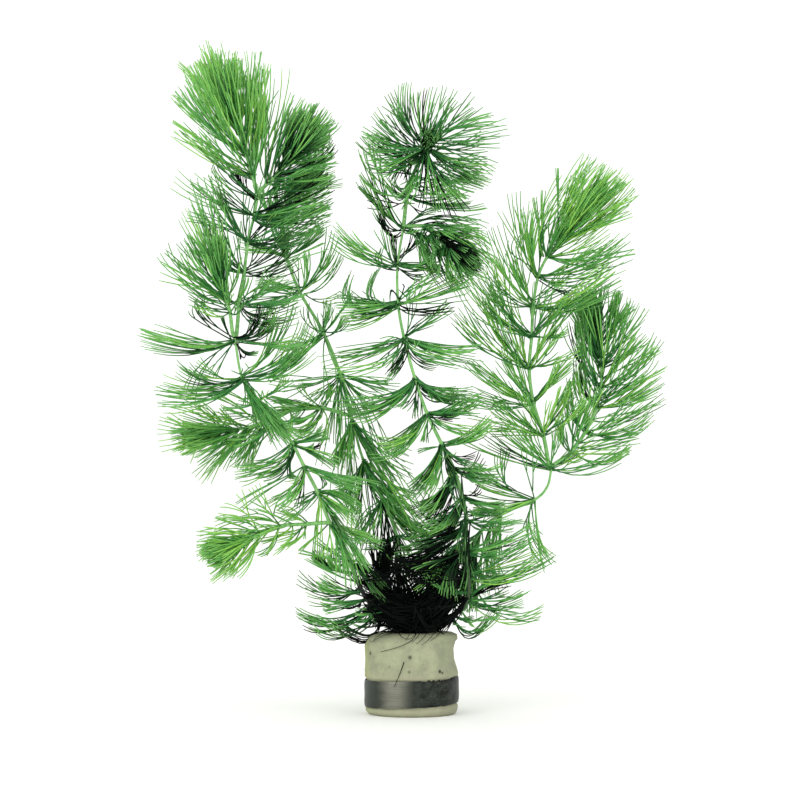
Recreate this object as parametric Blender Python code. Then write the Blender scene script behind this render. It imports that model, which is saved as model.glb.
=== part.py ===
"""A weighted bunch of hornwort: four branching stems with whorls of thin leaves, pushed into a
foam plug that has a soft metal strip wound round its foot.

Lengths in the tables are millimetres. The origin is the middle of the plug's underside, +Z is up,
+X is to the right and -Y is towards the front of the bunch.
"""

import math
import random
from collections import namedtuple

import bmesh
import bpy
from mathutils import Quaternion, Vector
from mathutils.bvhtree import BVHTree

MM = 0.001
GAP = 0.3

# Foot: the foam plug and the strip round it
PLUG_RADIUS = 17.3
PLUG_HEIGHT = 30.3
PLUG_SHOULDER = 5.5
PLUG_SHOULDER_TURNS = [math.radians(turn) for turn in (35, 65, 90)]
PLUG_FOOT_ROUND = 1.4
PLUG_FOOT_BULGE = 1.2
PLUG_SEGMENTS = 28
POCKET_RADIUS = 5.5
POCKET_FLOOR = 8.0
POCKET_FLARE_START = 20.0
POCKET_MOUTH_RADIUS = 10.0
WAIST_HEIGHT = 21.5
WAIST_DEPTH = 0.09
WAIST_SPREAD = 4.0

STRIP_OUTSIDE = 17.5
STRIP_HEIGHT = 9.8
STRIP_THICKNESS = 0.8
STRIP_MIDDLE = 8.4
STRIP_TILT = 0.9
STRIP_SEGMENTS = 40
STRIP_OVERLAP = math.radians(32)
STRIP_START = math.radians(74)
STRIP_LIFT_TURN = math.radians(18)

# The groove that the strip presses into the plug
GROOVE_RADIUS = STRIP_OUTSIDE - STRIP_THICKNESS - GAP
GROOVE_BELOW = STRIP_MIDDLE - STRIP_HEIGHT / 2 - STRIP_TILT
GROOVE_ABOVE = STRIP_MIDDLE + STRIP_HEIGHT / 2 + STRIP_TILT
GROOVE_SLOPE = 1.2

# How far leaves keep from the foot: beside it, above it, and where its side ends
FOOT_SPARE = 2.0
FOOT_TOP_SPARE = 0.6
FOOT_SIDE_TOP = 3.5

# Stems and leaves
STEM_SIDES = 6
STEM_RADIUS = 0.95
SHOOT_RADIUS = 0.75
TIP_RADIUS = 0.45
WHORL_SWELL = 1.15
WHORL_HALF_HEIGHT = 0.5
WHORL_TURN = math.radians(15)
LEAF_BASE = 1.1
LEAF_WIDEST_AT = 0.6
LEAF_WIDTH = 2.5
LEAF_THICKNESS = 1.5
LEAF_SAG = 4.0
LEAF_BOW_RISE = 0.5
LEAF_BOW_OUT = 0.55
LEAF_JITTER = math.radians(6)
LEAF_CLEARANCE = 0.25
LEAF_CLEAR_FROM = 0.14
LEAF_TURNS = [math.radians(turn) for turn in (0, 8, -8, 16, -16, 24, -24)]
LEAF_LENGTHS = (1.0, 0.88, 0.76, 0.62)

FRONT_TO_BACK = Vector((0.0, 1.0, 0.0))
SHORT_SIDE = 0.3
SHARP_EDGE = math.radians(40)

# Where the bunch is looked at from. The tables give across and up as they are seen from here.
EYE = Vector((-4.3, -1200.0, 116.0))

# One place on a stem. A whorl's left and right are how far its leaf tips reach, as (across, up);
# a rosette's reach is (along the stem, out from it); a bend has no leaves; a bud ends the shoot.
Place = namedtuple("Place", "kind at left right")


def seen_at(x, y, z):
    """The point at depth y that is seen from EYE at x across and z up on the plane y = 0."""
    spread = (y - EYE.y) / -EYE.y
    return Vector((EYE.x + (x - EYE.x) * spread, y, EYE.z + (z - EYE.z) * spread))


def bend(x, y, z):
    return Place("bend", seen_at(x, y, z), None, None)


def bud(x, y, z):
    return Place("bud", seen_at(x, y, z), None, None)


def whorl(x, y, z, left, right):
    return Place("whorl", seen_at(x, y, z), left, right)


def rosette(x, y, z, along, out):
    return Place("rosette", seen_at(x, y, z), (along, out), (along, out))


LEFT_STEM = [
    bend(-3.6, -1.6, 8.4),
    bend(-3.8, -1.8, 27.0),
    bend(-9.0, -3.2, 34.0),
    whorl(-13.0, -4.0, 38.0, (-24, -9), (12, -4)),
    whorl(-17.0, -5.0, 43.0, (-27, -2), (18, 0)),
    whorl(-20.0, -6.5, 49.0, (-22, 14), (16, 6)),
    whorl(-23.5, -8.0, 56.8, (-19, 6), (18, 4)),
    whorl(-30.2, -11.0, 70.4, (-14, -10), (17, -8)),
    whorl(-34.6, -13.0, 81.5, (-18, -9), (17, -7)),
    whorl(-39.8, -15.0, 91.5, (-28, -13), (30, -9)),
    whorl(-44.2, -16.0, 100.0, (-22, -13), (14, 4)),
    whorl(-50.0, -17.0, 108.0, (-18, -10), (14, 4)),
    whorl(-57.0, -18.0, 116.0, (-18, -4), (14, 8)),
    whorl(-62.7, -19.0, 124.1, (-31, 0), (28, 17)),
    whorl(-65.3, -20.0, 138.2, (-36, 1), (29, 0)),
    bend(-65.1, -20.0, 139.6),
]

LEFT_UPPER_STEM = [
    bend(-64.7, -19.6, 140.9),
    whorl(-63.8, -20.0, 151.1, (-29, 21), (30, 2)),
    whorl(-62.0, -20.0, 163.3, (-20, 26), (31, 15)),
    whorl(-60.5, -19.0, 174.4, (-16, 28), (30, 15)),
    whorl(-58.3, -18.0, 184.0, (-29, 14), (30, 7)),
    whorl(-56.8, -18.0, 191.4, (-22, 22), (22, 11)),
    bend(-56.6, -18.0, 192.6),
]

LEFT_LIGHT_TIP = [
    bend(-57.5, -17.9, 193.9),
    whorl(-58.8, -17.5, 199.0, (-30, 18), (5, 35)),
    whorl(-60.9, -17.0, 206.0, (-28, 26), (9, 36)),
    whorl(-63.3, -16.4, 214.0, (-22, 29), (6, 32)),
    whorl(-65.6, -15.8, 220.8, (-14, 24), (3, 26)),
    whorl(-67.6, -15.2, 227.0, (-7, 18), (1, 19)),
    bud(-70.5, -14.0, 236.0),
]

LEFT_DARK_TIP = [
    bend(-55.5, -18.5, 193.9),
    whorl(-53.1, -20.0, 196.4, (3, 30), (26, -4)),
    whorl(-48.8, -22.5, 200.9, (7, 28), (23, 4)),
    whorl(-44.6, -25.0, 206.0, (7, 20), (19, 7)),
    whorl(-40.9, -27.0, 210.7, (9, 16), (13, 9)),
    bud(-36.0, -29.0, 217.0),
]

LEFT_SIDE_TUFT = [
    bend(-66.3, -21.4, 141.2),
    whorl(-67.2, -24.0, 148.5, (-22, 8), (9, 8)),
    whorl(-68.6, -26.5, 153.5, (-25, 20), (5, 19)),
    whorl(-70.0, -29.0, 159.0, (-19, 18), (2, 18)),
    whorl(-71.2, -31.0, 165.5, (-11, 15), (-1, 16)),
    bud(-72.5, -33.0, 173.0),
]

LEFT_LOW_SHOOT = [
    bend(-32.2, -11.9, 70.6),
    whorl(-39.0, -14.0, 70.1, (-10, -11), (-13, 6)),
    whorl(-49.0, -18.0, 69.3, (-6, -11), (-24, 4)),
    whorl(-56.1, -21.0, 66.0, (-20, -18), (-20, 5)),
    whorl(-61.5, -23.5, 63.8, (-12, -13), (-18, 1)),
    whorl(-67.0, -25.5, 62.0, (-12, -6), (-14, -1)),
    bud(-74.0, -28.0, 59.8),
]

BACK_STEM = [
    bend(-1.4, 3.6, 8.4),
    bend(-1.5, 3.8, 27.0),
    whorl(-3.0, 6.0, 37.0, (-20, -3), (14, -3)),
    whorl(-4.3, 8.0, 44.0, (-18, 4), (18, 2)),
    whorl(-5.7, 11.0, 54.9, (-18, 2), (18, 0)),
    whorl(-5.7, 14.0, 66.0, (-17, -7), (17, -2)),
    whorl(-10.9, 18.0, 79.7, (-12, -18), (22, -17)),
    whorl(-17.9, 21.0, 93.8, (-10, -18), (24, -20)),
    whorl(-22.0, 24.0, 108.9, (-9, -18), (18, -26)),
    bend(-22.3, 24.2, 110.2),
]

BACK_UPPER_STEM = [
    bend(-22.7, 24.6, 111.6),
    whorl(-26.5, 27.0, 125.6, (-29, -6), (22, -6)),
    whorl(-32.7, 29.0, 141.1, (-18, -10), (12, 18)),
    whorl(-41.3, 30.0, 155.9, (-19, 3), (14, 23)),
    whorl(-46.4, 31.0, 169.2, (-16, 8), (20, 10)),
    whorl(-48.2, 32.0, 180.0, (-8, 16), (20, -2)),
    whorl(-45.0, 32.8, 187.0, (2, 18), (18, 2)),
    whorl(-40.5, 33.5, 193.5, (5, 15), (13, 6)),
    bud(-35.5, 34.0, 200.0),
]

BACK_SIDE_SHOOT = [
    bend(-24.1, 23.4, 110.6),
    whorl(-33.5, 21.0, 113.0, (-10, -12), (-19, 3)),
    whorl(-45.0, 17.0, 111.9, (-6, -12), (-12, 5)),
    whorl(-53.1, 13.0, 108.6, (-14, -22), (-20, 8)),
    whorl(-60.5, 9.5, 106.0, (-18, -18), (-27, 5)),
    whorl(-67.5, 7.0, 104.4, (-16, -11), (-23, 3)),
    whorl(-74.0, 5.0, 103.2, (-15, -5), (-18, 1)),
    bud(-82.0, 3.0, 102.2),
]

MIDDLE_STEM = [
    bend(3.4, -2.0, 8.4),
    bend(3.6, -2.0, 26.5),
    bend(10.5, -3.0, 33.0),
    whorl(16.0, -3.6, 36.5, (-26, -2), (17, 0)),
    whorl(20.6, -4.5, 42.0, (-28, 0), (29, 1)),
    whorl(20.9, -6.0, 50.5, (-27, 2), (32, 8)),
    whorl(19.6, -8.0, 60.5, (-24, -6), (30, 9)),
    whorl(20.2, -9.0, 71.9, (-28, -14), (23, 1)),
    whorl(18.7, -10.0, 80.4, (-18, -15), (18, -4)),
    whorl(15.4, -11.0, 90.8, (-15, -17), (18, 2)),
    whorl(11.3, -12.0, 99.3, (-13, -20), (20, 9)),
    whorl(5.7, -12.0, 111.1, (-20, -14), (23, 3)),
    whorl(1.3, -12.0, 123.7, (-24, -12), (31, -6)),
    whorl(-2.8, -12.0, 138.9, (-31, -8), (31, -6)),
    whorl(-5.0, -12.0, 151.8, (-29, 1), (30, 9)),
    whorl(-5.2, -12.0, 165.9, (-29, 15), (19, -1)),
    whorl(-3.1, -13.0, 179.2, (-16, 17), (14, -6)),
    bend(-2.9, -13.2, 180.5),
]

MIDDLE_HEAD = [
    bend(-2.8, -13.4, 182.0),
    whorl(-1.7, -14.5, 191.1, (-19, 6), (29, -3)),
    whorl(0.5, -17.0, 199.0, (-20, 12), (28, -2)),
    rosette(2.9, -20.5, 204.6, 3, 26),
    rosette(4.6, -25.0, 208.0, 5, 25),
    rosette(5.6, -29.5, 210.0, 8, 22),
    bud(6.6, -38.0, 212.0),
]

MIDDLE_SIDE_TUFT = [
    bend(-1.3, -13.8, 180.2),
    whorl(4.3, -16.0, 180.3, (25, -2), (-1, -11)),
    whorl(8.7, -18.0, 178.1, (21, -5), (-2, -14)),
    whorl(13.0, -20.5, 174.4, (15, -1), (-1, -15)),
    whorl(17.0, -22.7, 170.6, (11, -4), (3, -13)),
    bud(22.0, -25.5, 165.6),
]

RIGHT_STEM = [
    bend(2.6, 3.2, 8.4),
    bend(2.8, 3.4, 26.5),
    bend(9.5, 6.0, 34.0),
    whorl(16.0, 8.0, 41.0, (-16, -4), (12, -8)),
    whorl(20.9, 10.0, 50.8, (-14, 2), (10, -14)),
    whorl(22.2, 12.0, 60.5, (-15, -6), (6, -15)),
    whorl(25.6, 13.0, 67.4, (-13, -12), (8, -18)),
    whorl(33.1, 15.0, 73.8, (-18, 1), (4, -24)),
    whorl(45.3, 16.0, 79.0, (-26, 5), (8, -30)),
    bend(50.1, 17.0, 83.8),
    whorl(51.6, 18.0, 90.1, (-31, 15), (30, 9)),
    bend(51.6, 18.2, 91.3),
]

RIGHT_INNER_SHOOT = [
    bend(50.7, 18.0, 92.8),
    whorl(48.7, 18.0, 103.0, (-27, 9), (13, 20)),
    whorl(45.0, 19.0, 115.2, (-28, 15), (14, 16)),
    whorl(43.5, 20.0, 127.4, (-26, 23), (17, 15)),
    whorl(44.4, 20.0, 139.3, (-23, 23), (18, 17)),
    whorl(45.0, 20.0, 150.7, (-18, 25), (35, 10)),
    whorl(46.8, 19.0, 161.5, (-8, 32), (32, 9)),
    whorl(50.1, 18.0, 168.8, (-2, 26), (31, 5)),
    whorl(55.0, 17.0, 175.0, (4, 27), (27, 17)),
    whorl(59.6, 15.7, 181.0, (7, 25), (24, 14)),
    whorl(64.2, 14.0, 186.7, (9, 17), (16, 12)),
    bud(71.0, 11.5, 194.5),
]

RIGHT_OUTER_SHOOT = [
    bend(52.9, 19.2, 92.3),
    whorl(59.0, 21.0, 96.7, (-4, 17), (26, 4)),
    whorl(64.2, 24.0, 104.1, (-5, 19), (29, 6)),
    whorl(68.3, 27.0, 113.0, (-7, 21), (27, 13)),
    whorl(70.0, 29.0, 120.5, (-11, 26), (23, 16)),
    whorl(70.2, 31.0, 128.0, (-14, 28), (18, 14)),
    whorl(69.0, 32.0, 135.0, (-9, 25), (16, 18)),
    whorl(67.4, 32.0, 142.5, (-4, 18), (10, 15)),
    bud(65.6, 32.0, 153.0),
]

# Every shoot: its places, its radius where it starts and its leaf colour
SHOOTS = {
    "left_stem": (LEFT_STEM, STEM_RADIUS, (0.10, 0.26, 0.06)),
    "back_stem": (BACK_STEM, STEM_RADIUS, (0.08, 0.22, 0.06)),
    "middle_stem": (MIDDLE_STEM, STEM_RADIUS, (0.07, 0.20, 0.05)),
    "right_stem": (RIGHT_STEM, STEM_RADIUS, (0.11, 0.30, 0.07)),
    "left_upper_stem": (LEFT_UPPER_STEM, SHOOT_RADIUS, (0.06, 0.20, 0.05)),
    "back_upper_stem": (BACK_UPPER_STEM, SHOOT_RADIUS, (0.08, 0.25, 0.06)),
    "right_inner_shoot": (RIGHT_INNER_SHOOT, SHOOT_RADIUS, (0.10, 0.30, 0.07)),
    "right_outer_shoot": (RIGHT_OUTER_SHOOT, SHOOT_RADIUS, (0.08, 0.25, 0.07)),
    "back_side_shoot": (BACK_SIDE_SHOOT, SHOOT_RADIUS, (0.13, 0.35, 0.08)),
    "left_low_shoot": (LEFT_LOW_SHOOT, SHOOT_RADIUS, (0.14, 0.36, 0.09)),
    "left_side_tuft": (LEFT_SIDE_TUFT, SHOOT_RADIUS, (0.08, 0.26, 0.08)),
    "middle_side_tuft": (MIDDLE_SIDE_TUFT, SHOOT_RADIUS, (0.04, 0.15, 0.04)),
    "middle_head": (MIDDLE_HEAD, SHOOT_RADIUS, (0.04, 0.14, 0.05)),
    "left_light_tip": (LEFT_LIGHT_TIP, SHOOT_RADIUS, (0.18, 0.45, 0.10)),
    "left_dark_tip": (LEFT_DARK_TIP, SHOOT_RADIUS, (0.04, 0.15, 0.04)),
}


def clear_scene():
    for item in list(bpy.data.objects):
        bpy.data.objects.remove(item, do_unlink=True)


def make_material(name, colour, roughness, metallic=0.0):
    material = bpy.data.materials.new(name)
    material.use_nodes = True
    shader = material.node_tree.nodes["Principled BSDF"]
    shader.inputs["Base Color"].default_value = (*colour, 1.0)
    shader.inputs["Roughness"].default_value = roughness
    shader.inputs["Metallic"].default_value = metallic
    return material


def add_object(name, shape, material):
    """Makes an object in metres from a bmesh in millimetres."""
    bmesh.ops.triangulate(shape, faces=shape.faces)
    bmesh.ops.scale(shape, vec=(MM, MM, MM), verts=shape.verts)
    mesh = bpy.data.meshes.new(name)
    shape.to_mesh(mesh)
    shape.free()
    mesh.materials.append(material)
    item = bpy.data.objects.new(name, mesh)
    bpy.context.collection.objects.link(item)
    return item


def plug_radius_at(radius, height, angle):
    """The plug's outer radius, drawn in at a waist on its right side."""
    rightness = max(0.0, math.cos(angle)) ** 2
    pinch = math.exp(-(((height - WAIST_HEIGHT) / WAIST_SPREAD) ** 2))
    return radius * (1.0 - WAIST_DEPTH * rightness * pinch)


def plug_profile():
    """(radius, height, is it outside) from the underside's edge up and over into the pocket."""
    shoulder_foot = PLUG_HEIGHT - PLUG_SHOULDER
    outside = [
        (PLUG_RADIUS - PLUG_FOOT_ROUND, 0.0),
        (PLUG_RADIUS, PLUG_FOOT_BULGE),
        (GROOVE_RADIUS, GROOVE_BELOW),
        (GROOVE_RADIUS, GROOVE_ABOVE),
        (PLUG_RADIUS, GROOVE_ABOVE + GROOVE_SLOPE),
        (PLUG_RADIUS, WAIST_HEIGHT),
        (PLUG_RADIUS, shoulder_foot),
    ]
    for angle in PLUG_SHOULDER_TURNS:
        radius = PLUG_RADIUS - PLUG_SHOULDER * (1 - math.cos(angle))
        outside.append((radius, shoulder_foot + PLUG_SHOULDER * math.sin(angle)))
    inside = [
        (POCKET_MOUTH_RADIUS, PLUG_HEIGHT),
        (POCKET_RADIUS, POCKET_FLARE_START),
        (POCKET_RADIUS, POCKET_FLOOR),
    ]
    return [(r, z, True) for r, z in outside] + [(r, z, False) for r, z in inside]


def make_foam_plug():
    """The foam plug: a drum with a rounded shoulder, a waist and a blind pocket for the stems."""
    shape = bmesh.new()
    rings = []
    for radius, height, outer in plug_profile():
        ring = []
        for step in range(PLUG_SEGMENTS):
            angle = 2 * math.pi * step / PLUG_SEGMENTS
            reach = plug_radius_at(radius, height, angle) if outer else radius
            ring.append(shape.verts.new((reach * math.cos(angle), reach * math.sin(angle), height)))
        rings.append(ring)
    for low, high in zip(rings, rings[1:]):
        for step in range(PLUG_SEGMENTS):
            after = (step + 1) % PLUG_SEGMENTS
            shape.faces.new((low[step], low[after], high[after], high[step]))
    shape.faces.new(list(reversed(rings[0])))
    shape.faces.new(rings[-1])
    material = make_material("foam", (0.42, 0.45, 0.28), 0.95)
    plug = add_object("foam_plug", shape, material)
    plug.data.shade_smooth()
    plug.data.set_sharp_from_angle(angle=SHARP_EDGE)


def make_lead_strip():
    """The strip: a flat band wound once round the plug, its end lying over its start."""
    shape = bmesh.new()
    sweep = 2 * math.pi + STRIP_OVERLAP
    inner_start = STRIP_OUTSIDE - STRIP_THICKNESS
    lift = STRIP_THICKNESS + GAP
    rings = []
    for step in range(STRIP_SEGMENTS + 1):
        turn = sweep * step / STRIP_SEGMENTS
        angle = STRIP_START + turn
        rise = (turn - 2 * math.pi) / STRIP_LIFT_TURN + 1.0
        rise = min(1.0, max(0.0, rise))
        inner = inner_start + lift * rise * rise * (3 - 2 * rise)
        outer = inner + STRIP_THICKNESS
        middle = STRIP_MIDDLE + STRIP_TILT * math.cos(angle)
        low = middle - STRIP_HEIGHT / 2
        high = middle + STRIP_HEIGHT / 2
        corners = ((inner, low), (outer, low), (outer, high), (inner, high))
        rings.append([
            shape.verts.new((r * math.cos(angle), r * math.sin(angle), z)) for r, z in corners
        ])
    for one, two in zip(rings, rings[1:]):
        for corner in range(4):
            after = (corner + 1) % 4
            shape.faces.new((one[corner], two[corner], two[after], one[after]))
    shape.faces.new(rings[0])
    shape.faces.new(list(reversed(rings[-1])))
    material = make_material("soft_metal", (0.07, 0.08, 0.075), 0.45, 0.6)
    strip = add_object("lead_strip", shape, material)
    strip.data.shade_smooth()
    strip.data.set_sharp_from_angle(angle=SHARP_EDGE)


def stem_directions(places):
    """The stem's direction at each of its places, from the places before and after it."""
    points = [place.at for place in places]
    directions = []
    for index in range(len(points)):
        before = points[max(index - 1, 0)]
        after = points[min(index + 1, len(points) - 1)]
        directions.append((after - before).normalized())
    return directions


def stem_frames(places):
    """(along, side, back) at each place; side starts in the picture plane and isn't twisted."""
    directions = stem_directions(places)
    side = FRONT_TO_BACK.cross(directions[0]).normalized()
    frames = []
    for index, along in enumerate(directions):
        if index:
            side = directions[index - 1].rotation_difference(along) @ side
        side = (side - along * side.dot(along)).normalized()
        frames.append((along, side, along.cross(side)))
    return frames


def ring_points(centre, frame, radius, turn):
    _, side, back = frame
    points = []
    for step in range(STEM_SIDES):
        angle = turn + 2 * math.pi * step / STEM_SIDES
        points.append(centre + radius * (math.cos(angle) * side + math.sin(angle) * back))
    return points


def leaf_reach(place, frame, radial):
    """(along, out) of the leaf tip that leaves the stem in the direction radial."""
    if place.kind == "rosette":
        return place.left
    along = frame[0]
    side = FRONT_TO_BACK.cross(along)
    if side.length < SHORT_SIDE:
        side = frame[1]
    side = side.normalized()
    left = Vector((place.left[0], 0.0, place.left[1]))
    right = Vector((place.right[0], 0.0, place.right[1]))
    share = (1.0 + radial.dot(side)) / 2
    rise = left.dot(along) * (1 - share) + right.dot(along) * share
    out = -left.dot(side) * (1 - share) + right.dot(side) * share
    return rise, out


def leaf_curve(start, place, frame, radial, length):
    """The three control points of a leaf's midline."""
    rise, out = leaf_reach(place, frame, radial)
    along = frame[0]
    lift = along * (rise * LEAF_BOW_RISE - LEAF_SAG)
    bow = start + (lift + radial * (out * LEAF_BOW_OUT)) * length
    tip = start + (along * rise + radial * out) * length
    return start, bow, tip


def point_on(curve, share):
    first, second, third = curve
    rest = 1 - share
    return first * rest * rest + second * 2 * rest * share + third * share * share


def leaf_section(curve, share, across, width, thickness):
    """The four corners of a leaf's cross-section, in the order of its base on the stem."""
    first, second, third = curve
    heading = ((second - first) * (1 - share) + (third - second) * share).normalized()
    flat = (across - heading * across.dot(heading)).normalized()
    upper = heading.cross(flat)
    centre = point_on(curve, share)
    return [
        centre - flat * width / 2 - upper * thickness / 2,
        centre + flat * width / 2 - upper * thickness / 2,
        centre + flat * width / 2 + upper * thickness / 2,
        centre - flat * width / 2 + upper * thickness / 2,
    ]


def tube_tree(sections, tip):
    """A search tree of a leaf's or a stem's skin, for finding what would touch it."""
    points = [point for section in sections for point in section]
    sides = len(sections[0])
    faces = []
    for row in range(len(sections) - 1):
        for step in range(sides):
            after = (step + 1) % sides
            base = row * sides
            faces.append((base + step, base + after, base + sides + after, base + sides + step))
    last = (len(sections) - 1) * sides
    if tip is not None:
        points.append(tip)
        for step in range(sides):
            faces.append((last + step, last + (step + 1) % sides, len(points) - 1))
    tree = BVHTree.FromPolygons(points, faces)
    low = [min(point[axis] for point in points) for axis in range(3)]
    high = [max(point[axis] for point in points) for axis in range(3)]
    return tree, low, high


def touches(one, other):
    tree, low, high = one
    other_tree, other_low, other_high = other
    for axis in range(3):
        if low[axis] > other_high[axis] or other_low[axis] > high[axis]:
            return False
    return bool(tree.overlap(other_tree))


def leaf_skin(curve, across, start, spare):
    """The search tree of a leaf from a share of its length on, grown by a spare margin."""
    near = leaf_section(curve, start, across, LEAF_BASE + spare, LEAF_BASE + spare)
    wide = leaf_section(curve, LEAF_WIDEST_AT, across, LEAF_WIDTH + spare, LEAF_THICKNESS + spare)
    end = curve[2] + (curve[2] - curve[1]).normalized() * spare
    return tube_tree([near, wide], end)


def stem_skin(places, start_radius):
    frames = stem_frames(places)
    last = len(places) - 1
    sections = []
    for index, place in enumerate(places):
        radius = stem_radius(start_radius, index / last) * WHORL_SWELL + LEAF_CLEARANCE
        sections.append(ring_points(place.at, frames[index], radius, 0.0))
    return tube_tree(sections, None)


def stem_radius(start_radius, share):
    return start_radius + (TIP_RADIUS - start_radius) * share


def plug_skin():
    """The search tree of the plug and strip, grown so that leaves stay above and beside them."""
    top = PLUG_HEIGHT + FOOT_TOP_SPARE
    profile = (
        (PLUG_RADIUS + FOOT_SPARE, 0.0),
        (PLUG_RADIUS, PLUG_HEIGHT - FOOT_SIDE_TOP),
        (POCKET_MOUTH_RADIUS, top),
    )
    sections = []
    for radius, height in profile:
        sections.append([
            Vector((
                radius * math.cos(2 * math.pi * step / PLUG_SEGMENTS),
                radius * math.sin(2 * math.pi * step / PLUG_SEGMENTS),
                height,
            ))
            for step in range(PLUG_SEGMENTS)
        ])
    return tube_tree(sections, Vector((0.0, 0.0, top)))


def clear_leaf(name, place, frame, start, radial, taken):
    """The longest leaf that stays clear of what is there already, or None."""
    along = frame[0]
    spare = 2 * LEAF_CLEARANCE
    for length in LEAF_LENGTHS:
        for turn in LEAF_TURNS:
            heading = Quaternion(along, turn) @ radial
            across = along.cross(heading)
            curve = leaf_curve(start, place, frame, heading, length)
            whole = leaf_skin(curve, across, 0.0, spare)
            outer = leaf_skin(curve, across, LEAF_CLEAR_FROM, spare)
            if not any(touches(outer if owner == name else whole, skin) for owner, skin in taken):
                return curve, across, whole
    return None


def add_leaf(shape, base, curve, across):
    """Grows a leaf from the four corners of its base on the stem."""
    corners = leaf_section(curve, LEAF_WIDEST_AT, across, LEAF_WIDTH, LEAF_THICKNESS)
    wide = [shape.verts.new(corner) for corner in corners]
    tip = shape.verts.new(curve[2])
    for step in range(4):
        after = (step + 1) % 4
        shape.faces.new((base[step], base[after], wide[after], wide[step]))
        shape.faces.new((wide[step], wide[after], tip))


def add_whorl(shape, name, place, frame, radius, turn, chance, taken):
    """One node of the stem, as a short ring with a leaf on each side; gives its end rings."""
    along = frame[0]
    lift = along * WHORL_HALF_HEIGHT
    swollen = radius * WHORL_SWELL
    low = [shape.verts.new(p) for p in ring_points(place.at - lift, frame, swollen, turn)]
    high = [shape.verts.new(p) for p in ring_points(place.at + lift, frame, swollen, turn)]
    for step in range(STEM_SIDES):
        after = (step + 1) % STEM_SIDES
        base = (low[step], low[after], high[after], high[step])
        start = sum((corner.co for corner in base), Vector()) / 4
        outward = (start - place.at).normalized()
        radial = Quaternion(along, chance.uniform(-LEAF_JITTER, LEAF_JITTER)) @ outward
        leaf = clear_leaf(name, place, frame, start, radial, taken)
        if leaf is None:
            shape.faces.new(base)
            continue
        curve, across, skin = leaf
        add_leaf(shape, base, curve, across)
        taken.append((name, skin))
    return low, high


def join_rings(shape, low, high):
    for step in range(STEM_SIDES):
        after = (step + 1) % STEM_SIDES
        shape.faces.new((low[step], low[after], high[after], high[step]))


def make_shoot(name, places, start_radius, colour, seed, taken):
    """A stem or side shoot with its whorls of leaves, as one closed body."""
    shape = bmesh.new()
    chance = random.Random(seed)
    frames = stem_frames(places)
    last = len(places) - 1
    below = None
    for index, place in enumerate(places):
        radius = stem_radius(start_radius, index / last)
        turn = WHORL_TURN * index
        if place.kind == "bud":
            point = shape.verts.new(place.at)
            for step in range(STEM_SIDES):
                shape.faces.new((below[step], below[(step + 1) % STEM_SIDES], point))
            below = None
            continue
        if place.kind == "bend":
            low = [shape.verts.new(p) for p in ring_points(place.at, frames[index], radius, turn)]
            high = low
        else:
            low, high = add_whorl(shape, name, place, frames[index], radius, turn, chance, taken)
        if below is None:
            shape.faces.new(list(reversed(low)))
        else:
            join_rings(shape, below, low)
        below = high
    if below is not None:
        shape.faces.new(below)
    material = make_material(name + "_green", colour, 0.5)
    add_object(name, shape, material)


def main():
    clear_scene()
    make_foam_plug()
    make_lead_strip()
    taken = [("foot", plug_skin())]
    for name, (places, start_radius, _) in SHOOTS.items():
        taken.append((name, stem_skin(places, start_radius)))
    for seed, (name, (places, start_radius, colour)) in enumerate(SHOOTS.items()):
        make_shoot(name, places, start_radius, colour, seed, taken)


main()
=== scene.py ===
"""The looks of a weighted bunch of hornwort.

Thread leaves in whorls on four branching stems, the foam plug that holds them and the soft metal
strip round its foot. Lengths in the tables are millimetres. The origin is the middle of the plug's
underside, +Z is up, +X is to the right and -Y is towards the front of the bunch.
"""

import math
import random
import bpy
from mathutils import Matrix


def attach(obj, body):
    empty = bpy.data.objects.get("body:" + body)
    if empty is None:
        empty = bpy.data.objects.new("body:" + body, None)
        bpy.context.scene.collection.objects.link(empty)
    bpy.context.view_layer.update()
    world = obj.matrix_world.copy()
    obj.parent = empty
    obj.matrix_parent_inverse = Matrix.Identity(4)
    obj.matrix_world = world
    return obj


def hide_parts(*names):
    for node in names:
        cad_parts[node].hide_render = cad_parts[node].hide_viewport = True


bl_info = {
    "name": "Hornwort bunch",
    "version": (1, 0, 0),
    "blender": (4, 5, 0),
    "location": "3D View > Sidebar > Hornwort",
    "description": "A weighted bunch of hornwort with thread leaves, a foam plug and a metal strip",
    "category": "Add Mesh",
}

from collections import namedtuple

import bpy
import numpy as np
from mathutils import Quaternion, Vector, noise

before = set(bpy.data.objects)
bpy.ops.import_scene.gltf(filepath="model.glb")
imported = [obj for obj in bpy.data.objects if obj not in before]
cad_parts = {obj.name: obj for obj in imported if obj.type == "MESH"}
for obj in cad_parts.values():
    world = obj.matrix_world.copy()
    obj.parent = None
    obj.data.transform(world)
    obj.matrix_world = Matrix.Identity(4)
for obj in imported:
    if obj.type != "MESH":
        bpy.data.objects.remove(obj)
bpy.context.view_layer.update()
MM = 0.001
FRONT_TO_BACK = Vector((0.0, 1.0, 0.0))

# Where the bunch is looked at from. The tables give across and up as they are seen from here.
EYE = Vector((-4.3, -1200.0, 116.0))

# One place on a stem. A whorl's left and right are how far its leaf tips reach, as (across, up);
# a rosette's reach is (along the stem, out from it); a bend has no leaves; a bud ends the shoot.
Place = namedtuple("Place", "kind at left right")


def seen_at(x, y, z):
    """The point at depth y that is seen from EYE at x across and z up on the plane y = 0."""
    spread = (y - EYE.y) / -EYE.y
    return Vector((EYE.x + (x - EYE.x) * spread, y, EYE.z + (z - EYE.z) * spread))


def bend(x, y, z):
    return Place("bend", seen_at(x, y, z), None, None)


def bud(x, y, z):
    return Place("bud", seen_at(x, y, z), None, None)


def whorl(x, y, z, left, right):
    return Place("whorl", seen_at(x, y, z), left, right)


def rosette(x, y, z, along, out):
    return Place("rosette", seen_at(x, y, z), (along, out), (along, out))


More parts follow.
